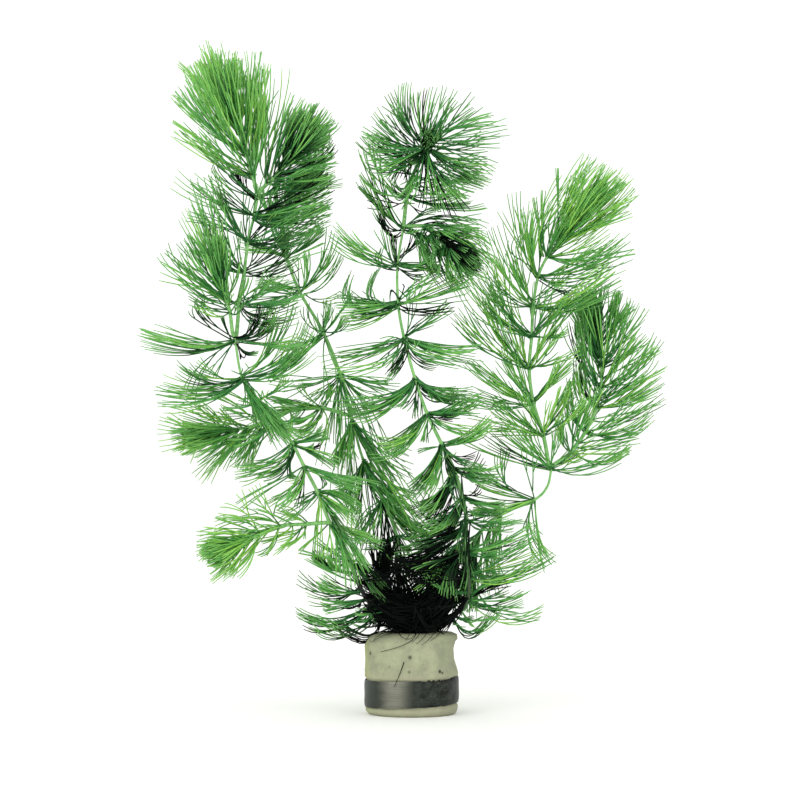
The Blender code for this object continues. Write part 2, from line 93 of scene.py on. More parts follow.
LEFT_STEM = [
    bend(-3.6, -1.6, 8.4),
    bend(-3.8, -1.8, 27.0),
    bend(-9.0, -3.2, 34.0),
    whorl(-13.0, -4.0, 38.0, (-24, -9), (12, -4)),
    whorl(-17.0, -5.0, 43.0, (-27, -2), (18, 0)),
    whorl(-20.0, -6.5, 49.0, (-22, 14), (16, 6)),
    whorl(-23.5, -8.0, 56.8, (-19, 6), (18, 4)),
    whorl(-30.2, -11.0, 70.4, (-14, -10), (17, -8)),
    whorl(-34.6, -13.0, 81.5, (-18, -9), (17, -7)),
    whorl(-39.8, -15.0, 91.5, (-28, -13), (30, -9)),
    whorl(-44.2, -16.0, 100.0, (-22, -13), (14, 4)),
    whorl(-50.0, -17.0, 108.0, (-18, -10), (14, 4)),
    whorl(-57.0, -18.0, 116.0, (-18, -4), (14, 8)),
    whorl(-62.7, -19.0, 124.1, (-31, 0), (28, 17)),
    whorl(-65.3, -20.0, 138.2, (-36, 1), (29, 0)),
    bend(-65.1, -20.0, 139.6),
]

LEFT_UPPER_STEM = [
    bend(-64.7, -19.6, 140.9),
    whorl(-63.8, -20.0, 151.1, (-29, 21), (30, 2)),
    whorl(-62.0, -20.0, 163.3, (-20, 26), (31, 15)),
    whorl(-60.5, -19.0, 174.4, (-16, 28), (30, 15)),
    whorl(-58.3, -18.0, 184.0, (-29, 14), (30, 7)),
    whorl(-56.8, -18.0, 191.4, (-22, 22), (22, 11)),
    bend(-56.6, -18.0, 192.6),
]

LEFT_LIGHT_TIP = [
    bend(-57.5, -17.9, 193.9),
    whorl(-58.8, -17.5, 199.0, (-30, 18), (5, 35)),
    whorl(-60.9, -17.0, 206.0, (-28, 26), (9, 36)),
    whorl(-63.3, -16.4, 214.0, (-22, 29), (6, 32)),
    whorl(-65.6, -15.8, 220.8, (-14, 24), (3, 26)),
    whorl(-67.6, -15.2, 227.0, (-7, 18), (1, 19)),
    bud(-70.5, -14.0, 236.0),
]

LEFT_DARK_TIP = [
    bend(-55.5, -18.5, 193.9),
    whorl(-53.1, -20.0, 196.4, (3, 30), (26, -4)),
    whorl(-48.8, -22.5, 200.9, (7, 28), (23, 4)),
    whorl(-44.6, -25.0, 206.0, (7, 20), (19, 7)),
    whorl(-40.9, -27.0, 210.7, (9, 16), (13, 9)),
    bud(-36.0, -29.0, 217.0),
]

LEFT_SIDE_TUFT = [
    bend(-66.3, -21.4, 141.2),
    whorl(-67.2, -24.0, 148.5, (-22, 8), (9, 8)),
    whorl(-68.6, -26.5, 153.5, (-25, 20), (5, 19)),
    whorl(-70.0, -29.0, 159.0, (-19, 18), (2, 18)),
    whorl(-71.2, -31.0, 165.5, (-11, 15), (-1, 16)),
    bud(-72.5, -33.0, 173.0),
]

LEFT_LOW_SHOOT = [
    bend(-32.2, -11.9, 70.6),
    whorl(-39.0, -14.0, 70.1, (-10, -11), (-13, 6)),
    whorl(-49.0, -18.0, 69.3, (-6, -11), (-24, 4)),
    whorl(-56.1, -21.0, 66.0, (-20, -18), (-20, 5)),
    whorl(-61.5, -23.5, 63.8, (-12, -13), (-18, 1)),
    whorl(-67.0, -25.5, 62.0, (-12, -6), (-14, -1)),
    bud(-74.0, -28.0, 59.8),
]

BACK_STEM = [
    bend(-1.4, 3.6, 8.4),
    bend(-1.5, 3.8, 27.0),
    whorl(-3.0, 6.0, 37.0, (-20, -3), (14, -3)),
    whorl(-4.3, 8.0, 44.0, (-18, 4), (18, 2)),
    whorl(-5.7, 11.0, 54.9, (-18, 2), (18, 0)),
    whorl(-5.7, 14.0, 66.0, (-17, -7), (17, -2)),
    whorl(-10.9, 18.0, 79.7, (-12, -18), (22, -17)),
    whorl(-17.9, 21.0, 93.8, (-10, -18), (24, -20)),
    whorl(-22.0, 24.0, 108.9, (-9, -18), (18, -26)),
    bend(-22.3, 24.2, 110.2),
]

BACK_UPPER_STEM = [
    bend(-22.7, 24.6, 111.6),
    whorl(-26.5, 27.0, 125.6, (-29, -6), (22, -6)),
    whorl(-32.7, 29.0, 141.1, (-18, -10), (12, 18)),
    whorl(-41.3, 30.0, 155.9, (-19, 3), (14, 23)),
    whorl(-46.4, 31.0, 169.2, (-16, 8), (20, 10)),
    whorl(-48.2, 32.0, 180.0, (-8, 16), (20, -2)),
    whorl(-45.0, 32.8, 187.0, (2, 18), (18, 2)),
    whorl(-40.5, 33.5, 193.5, (5, 15), (13, 6)),
    bud(-35.5, 34.0, 200.0),
]

BACK_SIDE_SHOOT = [
    bend(-24.1, 23.4, 110.6),
    whorl(-33.5, 21.0, 113.0, (-10, -12), (-19, 3)),
    whorl(-45.0, 17.0, 111.9, (-6, -12), (-12, 5)),
    whorl(-53.1, 13.0, 108.6, (-14, -22), (-20, 8)),
    whorl(-60.5, 9.5, 106.0, (-18, -18), (-27, 5)),
    whorl(-67.5, 7.0, 104.4, (-16, -11), (-23, 3)),
    whorl(-74.0, 5.0, 103.2, (-15, -5), (-18, 1)),
    bud(-82.0, 3.0, 102.2),
]

MIDDLE_STEM = [
    bend(3.4, -2.0, 8.4),
    bend(3.6, -2.0, 26.5),
    bend(10.5, -3.0, 33.0),
    whorl(16.0, -3.6, 36.5, (-26, -2), (17, 0)),
    whorl(20.6, -4.5, 42.0, (-28, 0), (29, 1)),
    whorl(20.9, -6.0, 50.5, (-27, 2), (32, 8)),
    whorl(19.6, -8.0, 60.5, (-24, -6), (30, 9)),
    whorl(20.2, -9.0, 71.9, (-28, -14), (23, 1)),
    whorl(18.7, -10.0, 80.4, (-18, -15), (18, -4)),
    whorl(15.4, -11.0, 90.8, (-15, -17), (18, 2)),
    whorl(11.3, -12.0, 99.3, (-13, -20), (20, 9)),
    whorl(5.7, -12.0, 111.1, (-20, -14), (23, 3)),
    whorl(1.3, -12.0, 123.7, (-24, -12), (31, -6)),
    whorl(-2.8, -12.0, 138.9, (-31, -8), (31, -6)),
    whorl(-5.0, -12.0, 151.8, (-29, 1), (30, 9)),
    whorl(-5.2, -12.0, 165.9, (-29, 15), (19, -1)),
    whorl(-3.1, -13.0, 179.2, (-16, 17), (14, -6)),
    bend(-2.9, -13.2, 180.5),
]

MIDDLE_HEAD = [
    bend(-2.8, -13.4, 182.0),
    whorl(-1.7, -14.5, 191.1, (-19, 6), (29, -3)),
    whorl(0.5, -17.0, 199.0, (-20, 12), (28, -2)),
    rosette(2.9, -20.5, 204.6, 3, 26),
    rosette(4.6, -25.0, 208.0, 5, 25),
    rosette(5.6, -29.5, 210.0, 8, 22),
    bud(6.6, -38.0, 212.0),
]

MIDDLE_SIDE_TUFT = [
    bend(-1.3, -13.8, 180.2),
    whorl(4.3, -16.0, 180.3, (25, -2), (-1, -11)),
    whorl(8.7, -18.0, 178.1, (21, -5), (-2, -14)),
    whorl(13.0, -20.5, 174.4, (15, -1), (-1, -15)),
    whorl(17.0, -22.7, 170.6, (11, -4), (3, -13)),
    bud(22.0, -25.5, 165.6),
]

RIGHT_STEM = [
    bend(2.6, 3.2, 8.4),
    bend(2.8, 3.4, 26.5),
    bend(9.5, 6.0, 34.0),
    whorl(16.0, 8.0, 41.0, (-16, -4), (12, -8)),
    whorl(20.9, 10.0, 50.8, (-14, 2), (10, -14)),
    whorl(22.2, 12.0, 60.5, (-15, -6), (6, -15)),
    whorl(25.6, 13.0, 67.4, (-13, -12), (8, -18)),
    whorl(33.1, 15.0, 73.8, (-18, 1), (4, -24)),
    whorl(45.3, 16.0, 79.0, (-26, 5), (8, -30)),
    bend(50.1, 17.0, 83.8),
    whorl(51.6, 18.0, 90.1, (-31, 15), (30, 9)),
    bend(51.6, 18.2, 91.3),
]

RIGHT_INNER_SHOOT = [
    bend(50.7, 18.0, 92.8),
    whorl(48.7, 18.0, 103.0, (-27, 9), (13, 20)),
    whorl(45.0, 19.0, 115.2, (-28, 15), (14, 16)),
    whorl(43.5, 20.0, 127.4, (-26, 23), (17, 15)),
    whorl(44.4, 20.0, 139.3, (-23, 23), (18, 17)),
    whorl(45.0, 20.0, 150.7, (-18, 25), (35, 10)),
    whorl(46.8, 19.0, 161.5, (-8, 32), (32, 9)),
    whorl(50.1, 18.0, 168.8, (-2, 26), (31, 5)),
    whorl(55.0, 17.0, 175.0, (4, 27), (27, 17)),
    whorl(59.6, 15.7, 181.0, (7, 25), (24, 14)),
    whorl(64.2, 14.0, 186.7, (9, 17), (16, 12)),
    bud(71.0, 11.5, 194.5),
]

RIGHT_OUTER_SHOOT = [
    bend(52.9, 19.2, 92.3),
    whorl(59.0, 21.0, 96.7, (-4, 17), (26, 4)),
    whorl(64.2, 24.0, 104.1, (-5, 19), (29, 6)),
    whorl(68.3, 27.0, 113.0, (-7, 21), (27, 13)),
    whorl(70.0, 29.0, 120.5, (-11, 26), (23, 16)),
    whorl(70.2, 31.0, 128.0, (-14, 28), (18, 14)),
    whorl(69.0, 32.0, 135.0, (-9, 25), (16, 18)),
    whorl(67.4, 32.0, 142.5, (-4, 18), (10, 15)),
    bud(65.6, 32.0, 153.0),
]

# A shoot: its places, the point its stem grows from, the stem's radius there, the leaf tone from
# 0 (deep green) to 1 (yellow-green), how many whorls are grown between two places of the table,
# the leaves in a whorl, how full its sweeps are, and its material slot.
Shoot = namedtuple("Shoot", "places root radius tone between leaves fullness slot")
SHOOTS = {
    "left_stem": Shoot(LEFT_STEM, None, 0.95, 0.55, 0, 10, 1.8, "mid_green"),
    "back_stem": Shoot(BACK_STEM, None, 0.95, 0.52, 0, 11, 1.2, "deep_green"),
    "middle_stem": Shoot(MIDDLE_STEM, None, 0.95, 0.40, 0, 11, 2.05, "deep_green"),
    "right_stem": Shoot(RIGHT_STEM, None, 0.95, 0.56, 0, 9, 1.25, "mid_green"),
    "left_upper_stem": Shoot(LEFT_UPPER_STEM, (-65.1, -20.0, 139.2), 0.75, 0.38, 0, 11, 1.25, "deep_green"),
    "back_upper_stem": Shoot(BACK_UPPER_STEM, (-22.3, 24.2, 110.0), 0.75, 0.54, 0, 9, 1.2, "mid_green"),
    "right_inner_shoot": Shoot(RIGHT_INNER_SHOOT, (51.6, 18.2, 91.0), 0.75, 0.72, 0, 11, 1.4, "mid_green"),
    "right_outer_shoot": Shoot(RIGHT_OUTER_SHOOT, (51.6, 18.2, 91.0), 0.75, 0.60, 1, 9, 1.1, "mid_green"),
    "back_side_shoot": Shoot(BACK_SIDE_SHOOT, (-22.3, 24.2, 110.0), 0.75, 0.74, 1, 8, 0.95, "light_green"),
    "left_low_shoot": Shoot(LEFT_LOW_SHOOT, (-30.4, -11.1, 70.6), 0.75, 0.84, 1, 8, 0.6, "light_green"),
    "left_side_tuft": Shoot(LEFT_SIDE_TUFT, (-65.2, -20.0, 139.4), 0.75, 0.56, 1, 10, 0.9, "mid_green"),
    "middle_side_tuft": Shoot(MIDDLE_SIDE_TUFT, (-3.0, -13.1, 180.0), 0.75, 0.34, 1, 11, 1.2, "deep_green"),
    "middle_head": Shoot(MIDDLE_HEAD, (-2.9, -13.2, 180.3), 0.75, 0.36, 1, 11, 0.95, "deep_green"),
    "left_light_tip": Shoot(LEFT_LIGHT_TIP, (-56.6, -18.0, 192.2), 0.75, 0.76, 1, 11, 1.9, "light_green"),
    "left_dark_tip": Shoot(LEFT_DARK_TIP, (-56.6, -18.0, 192.2), 0.75, 0.46, 1, 11, 1.6, "deep_green"),
}
TIP_RADIUS = 0.42

# Sweeps are fans of leaves that cling together and part towards their tips. Each row gives, as
# places across and down the front view: where the fan starts, the point it passes half way, its
# first tip and its last tip; then how many leaves it has, how far along them the shade reaches
# and, where it isn't the shoot's own, their tone.
SWEEPS = {
    "left_light_tip": (
        (252, 178, 215, 155, 174, 128, 184, 123, 8, 0.15),
        (254, 178, 260, 125, 251, 54, 273, 66, 10, 0.10),
        (245, 155, 205, 124, 172, 92, 178, 87, 5, 0.10),
        (244, 152, 212, 112, 180, 66, 193, 62, 10, 0.05),
        (246, 156, 253, 108, 250, 75, 262, 98, 6, 0.15),
        (241, 138, 214, 95, 192, 61, 206, 57, 12, 0.05),
        (240, 135, 228, 88, 222, 52, 236, 53, 9, 0.05),
        (242, 138, 243, 98, 240, 62, 247, 74, 7, 0.10),
        (237, 130, 223, 92, 208, 57, 232, 54, 16, 0.35, 0.62),
        (236, 126, 226, 100, 216, 70, 224, 72, 12, 0.30, 0.42),
    ),
    "left_dark_tip": (
        (266, 185, 270, 142, 276, 102, 286, 100, 6, 0.35),
        (270, 180, 283, 135, 297, 96, 304, 99, 6, 0.35),
        (280, 168, 298, 130, 305, 104, 313, 102, 6, 0.30, 0.5),
        (290, 160, 312, 130, 322, 100, 333, 108, 7, 0.25, 0.5),
        (285, 170, 316, 146, 337, 120, 341, 126, 7, 0.25, 0.5),
        (275, 180, 312, 160, 340, 130, 337, 150, 8, 0.30, 0.5),
        (270, 185, 306, 177, 338, 152, 337, 170, 8, 0.30, 0.5),
        (274, 178, 293, 154, 308, 132, 317, 127, 18, 0.85, 0.2),
        (284, 166, 296, 150, 306, 138, 312, 133, 12, 1.60, 0.0),
    ),
    "left_upper_stem": (
        (257, 199, 226, 180, 205, 165, 222, 152, 6, 0.50),
        (254, 215, 218, 203, 172, 176, 180, 174, 6, 0.35, 0.55),
        (256, 199, 243, 186, 236, 168, 245, 165, 4, 0.80),
        (258, 198, 288, 190, 330, 165, 336, 176, 8, 0.45),
        (254, 216, 292, 212, 335, 190, 338, 202, 10, 0.45, 0.5),
        (254, 216, 296, 200, 326, 170, 336, 186, 12, 0.40, 0.5),
        (255, 217, 290, 222, 334, 205, 330, 220, 8, 0.45, 0.45),
        (253, 217, 226, 195, 196, 178, 208, 170, 6, 0.60),
        (248, 242, 291, 238, 330, 212, 325, 229, 12, 0.50, 0.5),
        (248, 242, 225, 215, 204, 166, 213, 200, 8, 0.40, 0.5),
        (248, 243, 222, 226, 183, 213, 196, 214, 6, 0.50),
        (244, 272, 215, 252, 183, 214, 196, 192, 10, 0.45, 0.5),
        (244, 272, 286, 268, 334, 226, 314, 250, 6, 0.42),
        (244, 273, 268, 276, 298, 254, 312, 266, 3, 0.75),
        (240, 305, 277, 306, 301, 290, 305, 296, 4, 0.40),
        (241, 308, 268, 323, 326, 305, 308, 318, 4, 0.65),
        (241, 303, 262, 290, 285, 276, 300, 284, 6, 0.30, 0.5),
        (254, 217, 276, 227, 312, 214, 300, 225, 5, 0.60, 0.35),
        (254, 216, 280, 206, 316, 182, 308, 196, 5, 0.50, 0.4),
        (249, 242, 272, 245, 306, 224, 298, 237, 5, 0.75, 0.3),
        (248, 241, 264, 226, 282, 200, 290, 212, 4, 0.60, 0.4),
        (244, 271, 264, 258, 286, 230, 294, 244, 4, 0.70, 0.35),
        (243, 271, 234, 256, 224, 230, 234, 236, 3, 0.65, 0.35),
        (240, 304, 256, 296, 272, 262, 280, 270, 3, 0.60, 0.4),
    ),
    "left_side_tuft": (
        (228, 303, 190, 277, 161, 248, 172, 240, 9, 0.20, 0.6),
        (226, 298, 197, 262, 173, 232, 185, 240, 8, 0.20, 0.6),
        (222, 285, 206, 250, 190, 237, 205, 230, 9, 0.25),
        (224, 290, 211, 240, 194, 190, 207, 164, 8, 0.25, 0.6),
        (225, 292, 214, 250, 203, 215, 214, 214, 8, 0.30, 0.55),
        (229, 312, 204, 304, 190, 286, 197, 309, 6, 0.15, 0.6),
        (223, 292, 221, 270, 217, 252, 224, 250, 12, 0.85, 0.2),
        (230, 312, 216, 300, 196, 300, 205, 312, 5, 0.30),
    ),
    "left_stem": (
        (234, 340, 200, 347, 133, 347, 147, 327, 7, 0.25, 0.55),
        (234, 340, 195, 345, 136, 337, 140, 342, 4, 0.35, 0.5),
        (228, 339, 203, 318, 191, 290, 196, 306, 3, 0.60),
        (229, 340, 225, 325, 221, 315, 222, 318, 2, 0.90),
        (233, 342, 203, 362, 185, 401, 191, 396, 2, 0.60),
        (233, 342, 221, 362, 206, 381, 208, 377, 1, 0.60),
        (238, 338, 257, 333, 278, 300, 262, 304, 6, 0.70),
        (238, 339, 262, 336, 276, 318, 280, 312, 4, 0.85),
        (238, 340, 280, 342, 319, 345, 312, 333, 2, 0.45),
        (236, 342, 241, 357, 243, 358, 241, 350, 2, 1.10),
        (238, 344, 247, 355, 260, 358, 258, 351, 3, 1.10),
        (238, 338, 254, 330, 268, 304, 262, 300, 3, 0.85, 0.25),
        (240, 306, 258, 322, 292, 322, 286, 312, 4, 0.80, 0.3),
        (241, 379, 207, 383, 170, 367, 181, 369, 5, 0.35),
        (240, 380, 205, 391, 158, 379, 165, 392, 3, 0.35),
        (240, 381, 206, 396, 145, 399, 148, 395, 6, 0.30, 0.55),
        (239, 382, 206, 400, 148, 405, 185, 401, 3, 0.30, 0.6),
        (225, 380, 206, 367, 188, 358, 195, 353, 2, 0.00, 0.6),
        (244, 377, 286, 360, 322, 335, 302, 318, 8, 0.15, 0.58),
        (246, 376, 276, 345, 302, 298, 290, 308, 8, 0.10, 0.62),
        (245, 379, 282, 373, 323, 338, 318, 346, 6, 0.15, 0.6),
        (245, 383, 266, 413, 290, 440, 302, 446, 16, 0.05, 0.5),
        (244, 382, 258, 408, 272, 436, 284, 448, 12, 0.05, 0.42),
        (243, 382, 251, 404, 247, 421, 257, 425, 4, 0.20),
        (292, 446, 283, 470, 254, 488, 262, 478, 7, 0.35, 0.55),
        (292, 448, 289, 470, 300, 476, 292, 481, 3, 0.75),
        (290, 446, 270, 466, 228, 480, 240, 476, 5, 0.35, 0.6),
        (295, 445, 318, 455, 342, 463, 336, 469, 7, 0.15),
        (300, 440, 310, 449, 321, 441, 318, 447, 4, 0.70),
        (296, 440, 312, 436, 322, 424, 330, 436, 5, 0.30),
        (302, 468, 295, 489, 262, 508, 280, 509, 8, 0.25, 0.55),
        (301, 469, 300, 488, 290, 506, 297, 510, 3, 0.55),
        (306, 466, 330, 478, 358, 484, 366, 493, 8, 0.15),
        (306, 467, 325, 480, 328, 492, 322, 486, 2, 0.60),
        (316, 493, 308, 500, 296, 509, 266, 527, 3, 0.20, 0.6),
        (320, 492, 340, 496, 361, 505, 362, 521, 10, 0.10, 0.6),
        (320, 494, 334, 505, 352, 522, 358, 528, 6, 0.20),
        (317, 496, 317, 520, 316, 560, 322, 562, 4, 0.00, 0.66),
        (321, 498, 330, 512, 345, 535, 350, 545, 6, 0.20, 0.5),
        (332, 524, 350, 530, 372, 540, 386, 546, 7, 0.45),
        (331, 526, 342, 548, 344, 586, 356, 592, 10, 0.10, 0.58),
        (333, 526, 350, 545, 366, 575, 372, 570, 8, 0.40),
        (346, 562, 326, 566, 306, 549, 313, 556, 7, 0.35, 0.58),
        (352, 575, 330, 566, 316, 545, 330, 548, 7, 0.35, 0.58),
        (360, 590, 326, 592, 294, 575, 298, 580, 3, 0.40, 0.5),
        (362, 592, 338, 590, 309, 583, 318, 572, 8, 0.40, 0.58),
        (358, 588, 334, 602, 298, 594, 302, 600, 3, 0.45, 0.5),
        (366, 600, 336, 606, 318, 600, 322, 611, 9, 0.40, 0.58),
        (368, 604, 330, 622, 295, 612, 298, 616, 6, 0.50, 0.6),
        (372, 608, 338, 628, 297, 623, 312, 620, 6, 0.65, 0.55),
        (378, 614, 346, 636, 304, 634, 330, 626, 5, 0.75, 0.6),
        (376, 618, 368, 640, 330, 626, 336, 622, 6, 1.00, 0.4),
        (352, 560, 340, 545, 331, 546, 340, 536, 6, 0.35, 0.5),
        (366, 597, 386, 600, 420, 615, 410, 600, 14, 1.60, 0.0),
        (376, 611, 395, 622, 432, 628, 420, 620, 14, 1.60, 0.0),
        (357, 581, 378, 590, 402, 610, 395, 600, 8, 1.60, 0.0),
        (348, 560, 364, 577, 386, 604, 376, 596, 10, 0.50, 0.35),
        (350, 562, 368, 570, 392, 588, 384, 594, 10, 1.00, 0.2),
    ),
    "back_upper_stem": (
        (341, 377, 341, 424, 326, 466, 354, 482, 7, 0.05, 0.6),
        (341, 376, 368, 418, 400, 460, 378, 484, 5, 0.10, 0.55),
        (340, 376, 322, 410, 296, 430, 310, 440, 3, 0.20, 0.55),
        (323, 333, 330, 368, 350, 410, 330, 416, 4, 0.20, 0.6),
        (339, 376, 300, 385, 257, 393, 266, 390, 2, 0.30),
        (338, 377, 322, 392, 300, 406, 308, 400, 5, 0.25),
        (338, 379, 326, 394, 316, 412, 324, 404, 5, 0.35),
        (343, 375, 368, 381, 402, 390, 386, 380, 6, 0.20),
        (343, 377, 363, 393, 388, 397, 380, 402, 4, 0.30),
        (341, 378, 347, 400, 352, 426, 362, 422, 6, 0.10, 0.6),
        (343, 378, 356, 398, 376, 416, 370, 408, 4, 0.35),
        (340, 378, 338, 402, 338, 428, 332, 448, 6, 0.20),
        (322, 334, 296, 358, 262, 375, 256, 385, 12, 0.10, 0.58),
        (321, 335, 300, 346, 281, 350, 270, 352, 5, 0.20),
        (320, 333, 306, 322, 299, 308, 303, 298, 4, 0.25),
        (325, 331, 338, 330, 352, 318, 340, 316, 5, 0.40),
        (324, 329, 327, 314, 321, 298, 336, 304, 5, 0.30),
        (301, 292, 279, 300, 245, 301, 251, 310, 8, 0.25),
        (300, 290, 279, 286, 253, 279, 258, 292, 12, 0.10, 0.6),
        (303, 288, 295, 268, 282, 250, 291, 256, 4, 0.15, 0.66),
        (304, 288, 326, 268, 335, 238, 343, 246, 9, 0.15, 0.58),
        (304, 292, 326, 284, 340, 258, 341, 250, 4, 0.40),
        (303, 294, 320, 302, 345, 300, 338, 292, 4, 0.35),
        (286, 256, 264, 250, 240, 240, 232, 246, 8, 0.15, 0.6),
        (287, 256, 302, 248, 320, 226, 326, 232, 8, 0.25),
        (281, 228, 268, 212, 262, 190, 272, 192, 5, 0.40),
        (281, 228, 300, 214, 318, 196, 326, 206, 8, 0.30),
    ),
    "back_side_shoot": (
        (321, 407, 298, 404, 264, 403, 270, 407, 6, 0.15, 0.55),
        (320, 406, 306, 396, 296, 386, 304, 384, 3, 0.20, 0.7),
        (320, 410, 307, 430, 296, 440, 286, 428, 10, 0.20, 0.58),
        (320, 409, 304, 420, 288, 424, 292, 416, 6, 0.25, 0.58),
        (321, 412, 328, 424, 319, 450, 323, 447, 3, 0.15, 0.62),
        (323, 404, 330, 392, 327, 384, 336, 388, 3, 0.30),
        (290, 411, 280, 411, 262, 408, 276, 419, 9, 0.15, 0.58),
        (290, 415, 287, 429, 274, 440, 280, 437, 5, 0.20, 0.5),
        (268, 418, 245, 412, 208, 414, 226, 410, 5, 0.15),
        (268, 420, 240, 440, 207, 462, 228, 472, 14, 0.15, 0.62),
        (266, 422, 248, 450, 230, 481, 246, 478, 10, 0.15, 0.62),
        (248, 427, 222, 441, 190, 457, 196, 452, 5, 0.25, 0.55),
        (248, 427, 224, 450, 194, 476, 204, 481, 6, 0.25, 0.55),
        (250, 426, 230, 424, 206, 398, 196, 402, 6, 0.20),
        (229, 431, 206, 412, 170, 404, 186, 400, 7, 0.15),
        (229, 431, 200, 436, 153, 434, 158, 448, 8, 0.10, 0.8),
        (229, 431, 200, 426, 156, 426, 165, 408, 8, 0.10, 0.8),
        (211, 435, 188, 443, 158, 446, 186, 456, 7, 0.05, 0.9),
        (211, 434, 188, 430, 160, 428, 170, 412, 7, 0.05, 0.9),
        (225, 433, 200, 434, 170, 431, 183, 439, 14, 0.30, 0.5),
    ),
    "left_low_shoot": (
        (306, 524, 288, 508, 262, 505, 276, 513, 6, 0.10),
        (306, 526, 305, 533, 303, 541, 304, 541, 2, 0.10, 0.6),
        (304, 526, 293, 539, 278, 553, 280, 544, 4, 0.25),
        (279, 526, 264, 508, 246, 488, 254, 478, 6, 0.15),
        (279, 526, 252, 513, 214, 515, 234, 513, 5, 0.10),
        (279, 528, 274, 545, 255, 557, 262, 555, 5, 0.25, 0.6),
        (278, 526, 268, 500, 268, 476, 276, 500, 4, 0.20),
        (260, 533, 237, 520, 205, 520, 210, 526, 7, 0.10),
        (260, 534, 232, 530, 197, 538, 204, 532, 6, 0.10),
        (260, 533, 246, 508, 226, 500, 240, 489, 5, 0.15),
        (258, 536, 226, 538, 197, 545, 200, 551, 8, 0.10),
        (258, 537, 250, 560, 230, 578, 236, 577, 5, 0.15),
        (246, 541, 216, 548, 192, 560, 200, 554, 10, 0.05),
        (246, 542, 226, 562, 206, 583, 212, 574, 6, 0.10),
        (247, 542, 236, 562, 222, 581, 226, 580, 4, 0.10),
        (240, 545, 216, 559, 205, 566, 200, 561, 6, 0.05),
        (262, 534, 238, 541, 212, 545, 220, 550, 10, 0.25, 0.5),
    ),
    "back_stem": (
        (352, 421, 349, 470, 336, 520, 368, 530, 8, 0.10, 0.55),
        (363, 460, 361, 505, 346, 560, 382, 562, 7, 0.15, 0.55),
        (352, 421, 386, 468, 436, 515, 412, 540, 7, 0.10, 0.55),
        (363, 460, 402, 502, 446, 535, 420, 555, 6, 0.15, 0.55),
        (382, 498, 404, 530, 438, 550, 416, 562, 6, 0.40, 0.45),
        (396, 535, 404, 556, 410, 580, 396, 590, 8, 0.90, 0.3),
        (352, 421, 350, 440, 336, 463, 352, 461, 8, 0.15, 0.55),
        (353, 421, 368, 446, 388, 468, 396, 492, 12, 0.15, 0.45),
        (355, 421, 378, 452, 428, 466, 420, 500, 8, 0.10, 0.5),
        (349, 421, 341, 445, 332, 462, 340, 466, 6, 0.10, 0.6),
        (365, 462, 384, 497, 426, 520, 420, 546, 14, 0.15, 0.48),
        (364, 462, 380, 492, 402, 512, 408, 500, 10, 0.25, 0.42),
        (361, 463, 354, 490, 340, 502, 358, 522, 12, 0.10, 0.55),
        (360, 463, 348, 486, 330, 500, 336, 492, 7, 0.10, 0.58),
        (380, 500, 365, 520, 346, 544, 362, 560, 12, 0.20, 0.5),
        (384, 500, 400, 522, 432, 541, 440, 534, 12, 0.25, 0.48),
        (382, 502, 384, 532, 376, 572, 396, 578, 14, 0.90, 0.2),
        (394, 537, 384, 548, 388, 568, 376, 582, 8, 1.00, 0.2),
        (386, 540, 400, 534, 444, 541, 438, 536, 4, 0.60),
        (396, 538, 404, 548, 420, 556, 410, 552, 8, 0.35, 0.4),
        (396, 565, 380, 590, 372, 616, 390, 624, 16, 1.60, 0.0),
        (396, 565, 404, 590, 398, 620, 422, 626, 16, 1.60, 0.0),
        (400, 594, 385, 606, 370, 624, 386, 630, 14, 1.60, 0.0),
        (400, 594, 420, 606, 438, 624, 414, 631, 14, 1.60, 0.0),
        (403, 613, 422, 622, 446, 627, 430, 632, 12, 1.60, 0.0),
        (390, 560, 410, 566, 440, 580, 425, 590, 8, 1.60, 0.0),
        (392, 545, 384, 566, 376, 596, 388, 600, 6, 0.30, 0.4),
        (396, 550, 406, 568, 426, 590, 414, 596, 6, 0.30, 0.4),
    ),
    "middle_head": (
        (425, 144, 401, 125, 388, 93, 397, 86, 6, 0.30),
        (425, 144, 408, 118, 401, 82, 408, 83, 6, 0.30, 0.5),
        (426, 142, 419, 115, 413, 87, 421, 84, 7, 0.35),
        (427, 142, 425, 115, 424, 86, 438, 81, 4, 0.40),
        (428, 142, 434, 113, 440, 85, 446, 92, 3, 0.40),
        (430, 142, 443, 119, 452, 103, 458, 99, 6, 0.35),
        (431, 143, 452, 122, 471, 103, 476, 109, 4, 0.35),
        (432, 144, 462, 126, 495, 113, 493, 118, 6, 0.25, 0.5),
        (432, 145, 464, 136, 506, 125, 506, 134, 7, 0.30),
        (432, 146, 462, 145, 505, 138, 489, 146, 7, 0.40),
        (432, 148, 464, 153, 503, 161, 499, 176, 5, 0.35),
        (432, 149, 456, 162, 485, 162, 495, 173, 10, 0.40),
        (431, 150, 450, 168, 480, 182, 492, 185, 9, 0.45),
        (430, 152, 446, 180, 484, 198, 474, 190, 7, 0.45),
        (429, 152, 440, 184, 465, 214, 458, 220, 6, 0.45),
        (428, 153, 432, 182, 440, 212, 453, 218, 9, 0.45),
        (426, 153, 425, 180, 419, 206, 431, 206, 8, 0.50),
        (424, 152, 414, 172, 402, 196, 411, 190, 9, 0.60),
        (423, 148, 398, 138, 373, 105, 372, 116, 6, 0.45),
        (423, 149, 397, 147, 363, 130, 369, 141, 7, 0.45),
        (423, 150, 396, 157, 362, 144, 367, 151, 6, 0.50),
        (423, 151, 402, 162, 374, 166, 386, 168, 7, 0.60),
        (423, 152, 402, 168, 388, 178, 397, 188, 10, 0.70),
        (424, 150, 415, 160, 408, 172, 400, 160, 10, 0.90, 0.2),
        (429, 150, 440, 156, 452, 168, 458, 158, 8, 0.50, 0.4),
        (406, 198, 383, 208, 354, 197, 361, 209, 4, 0.80),
        (405, 196, 374, 172, 356, 132, 364, 135, 5, 0.15, 0.6),
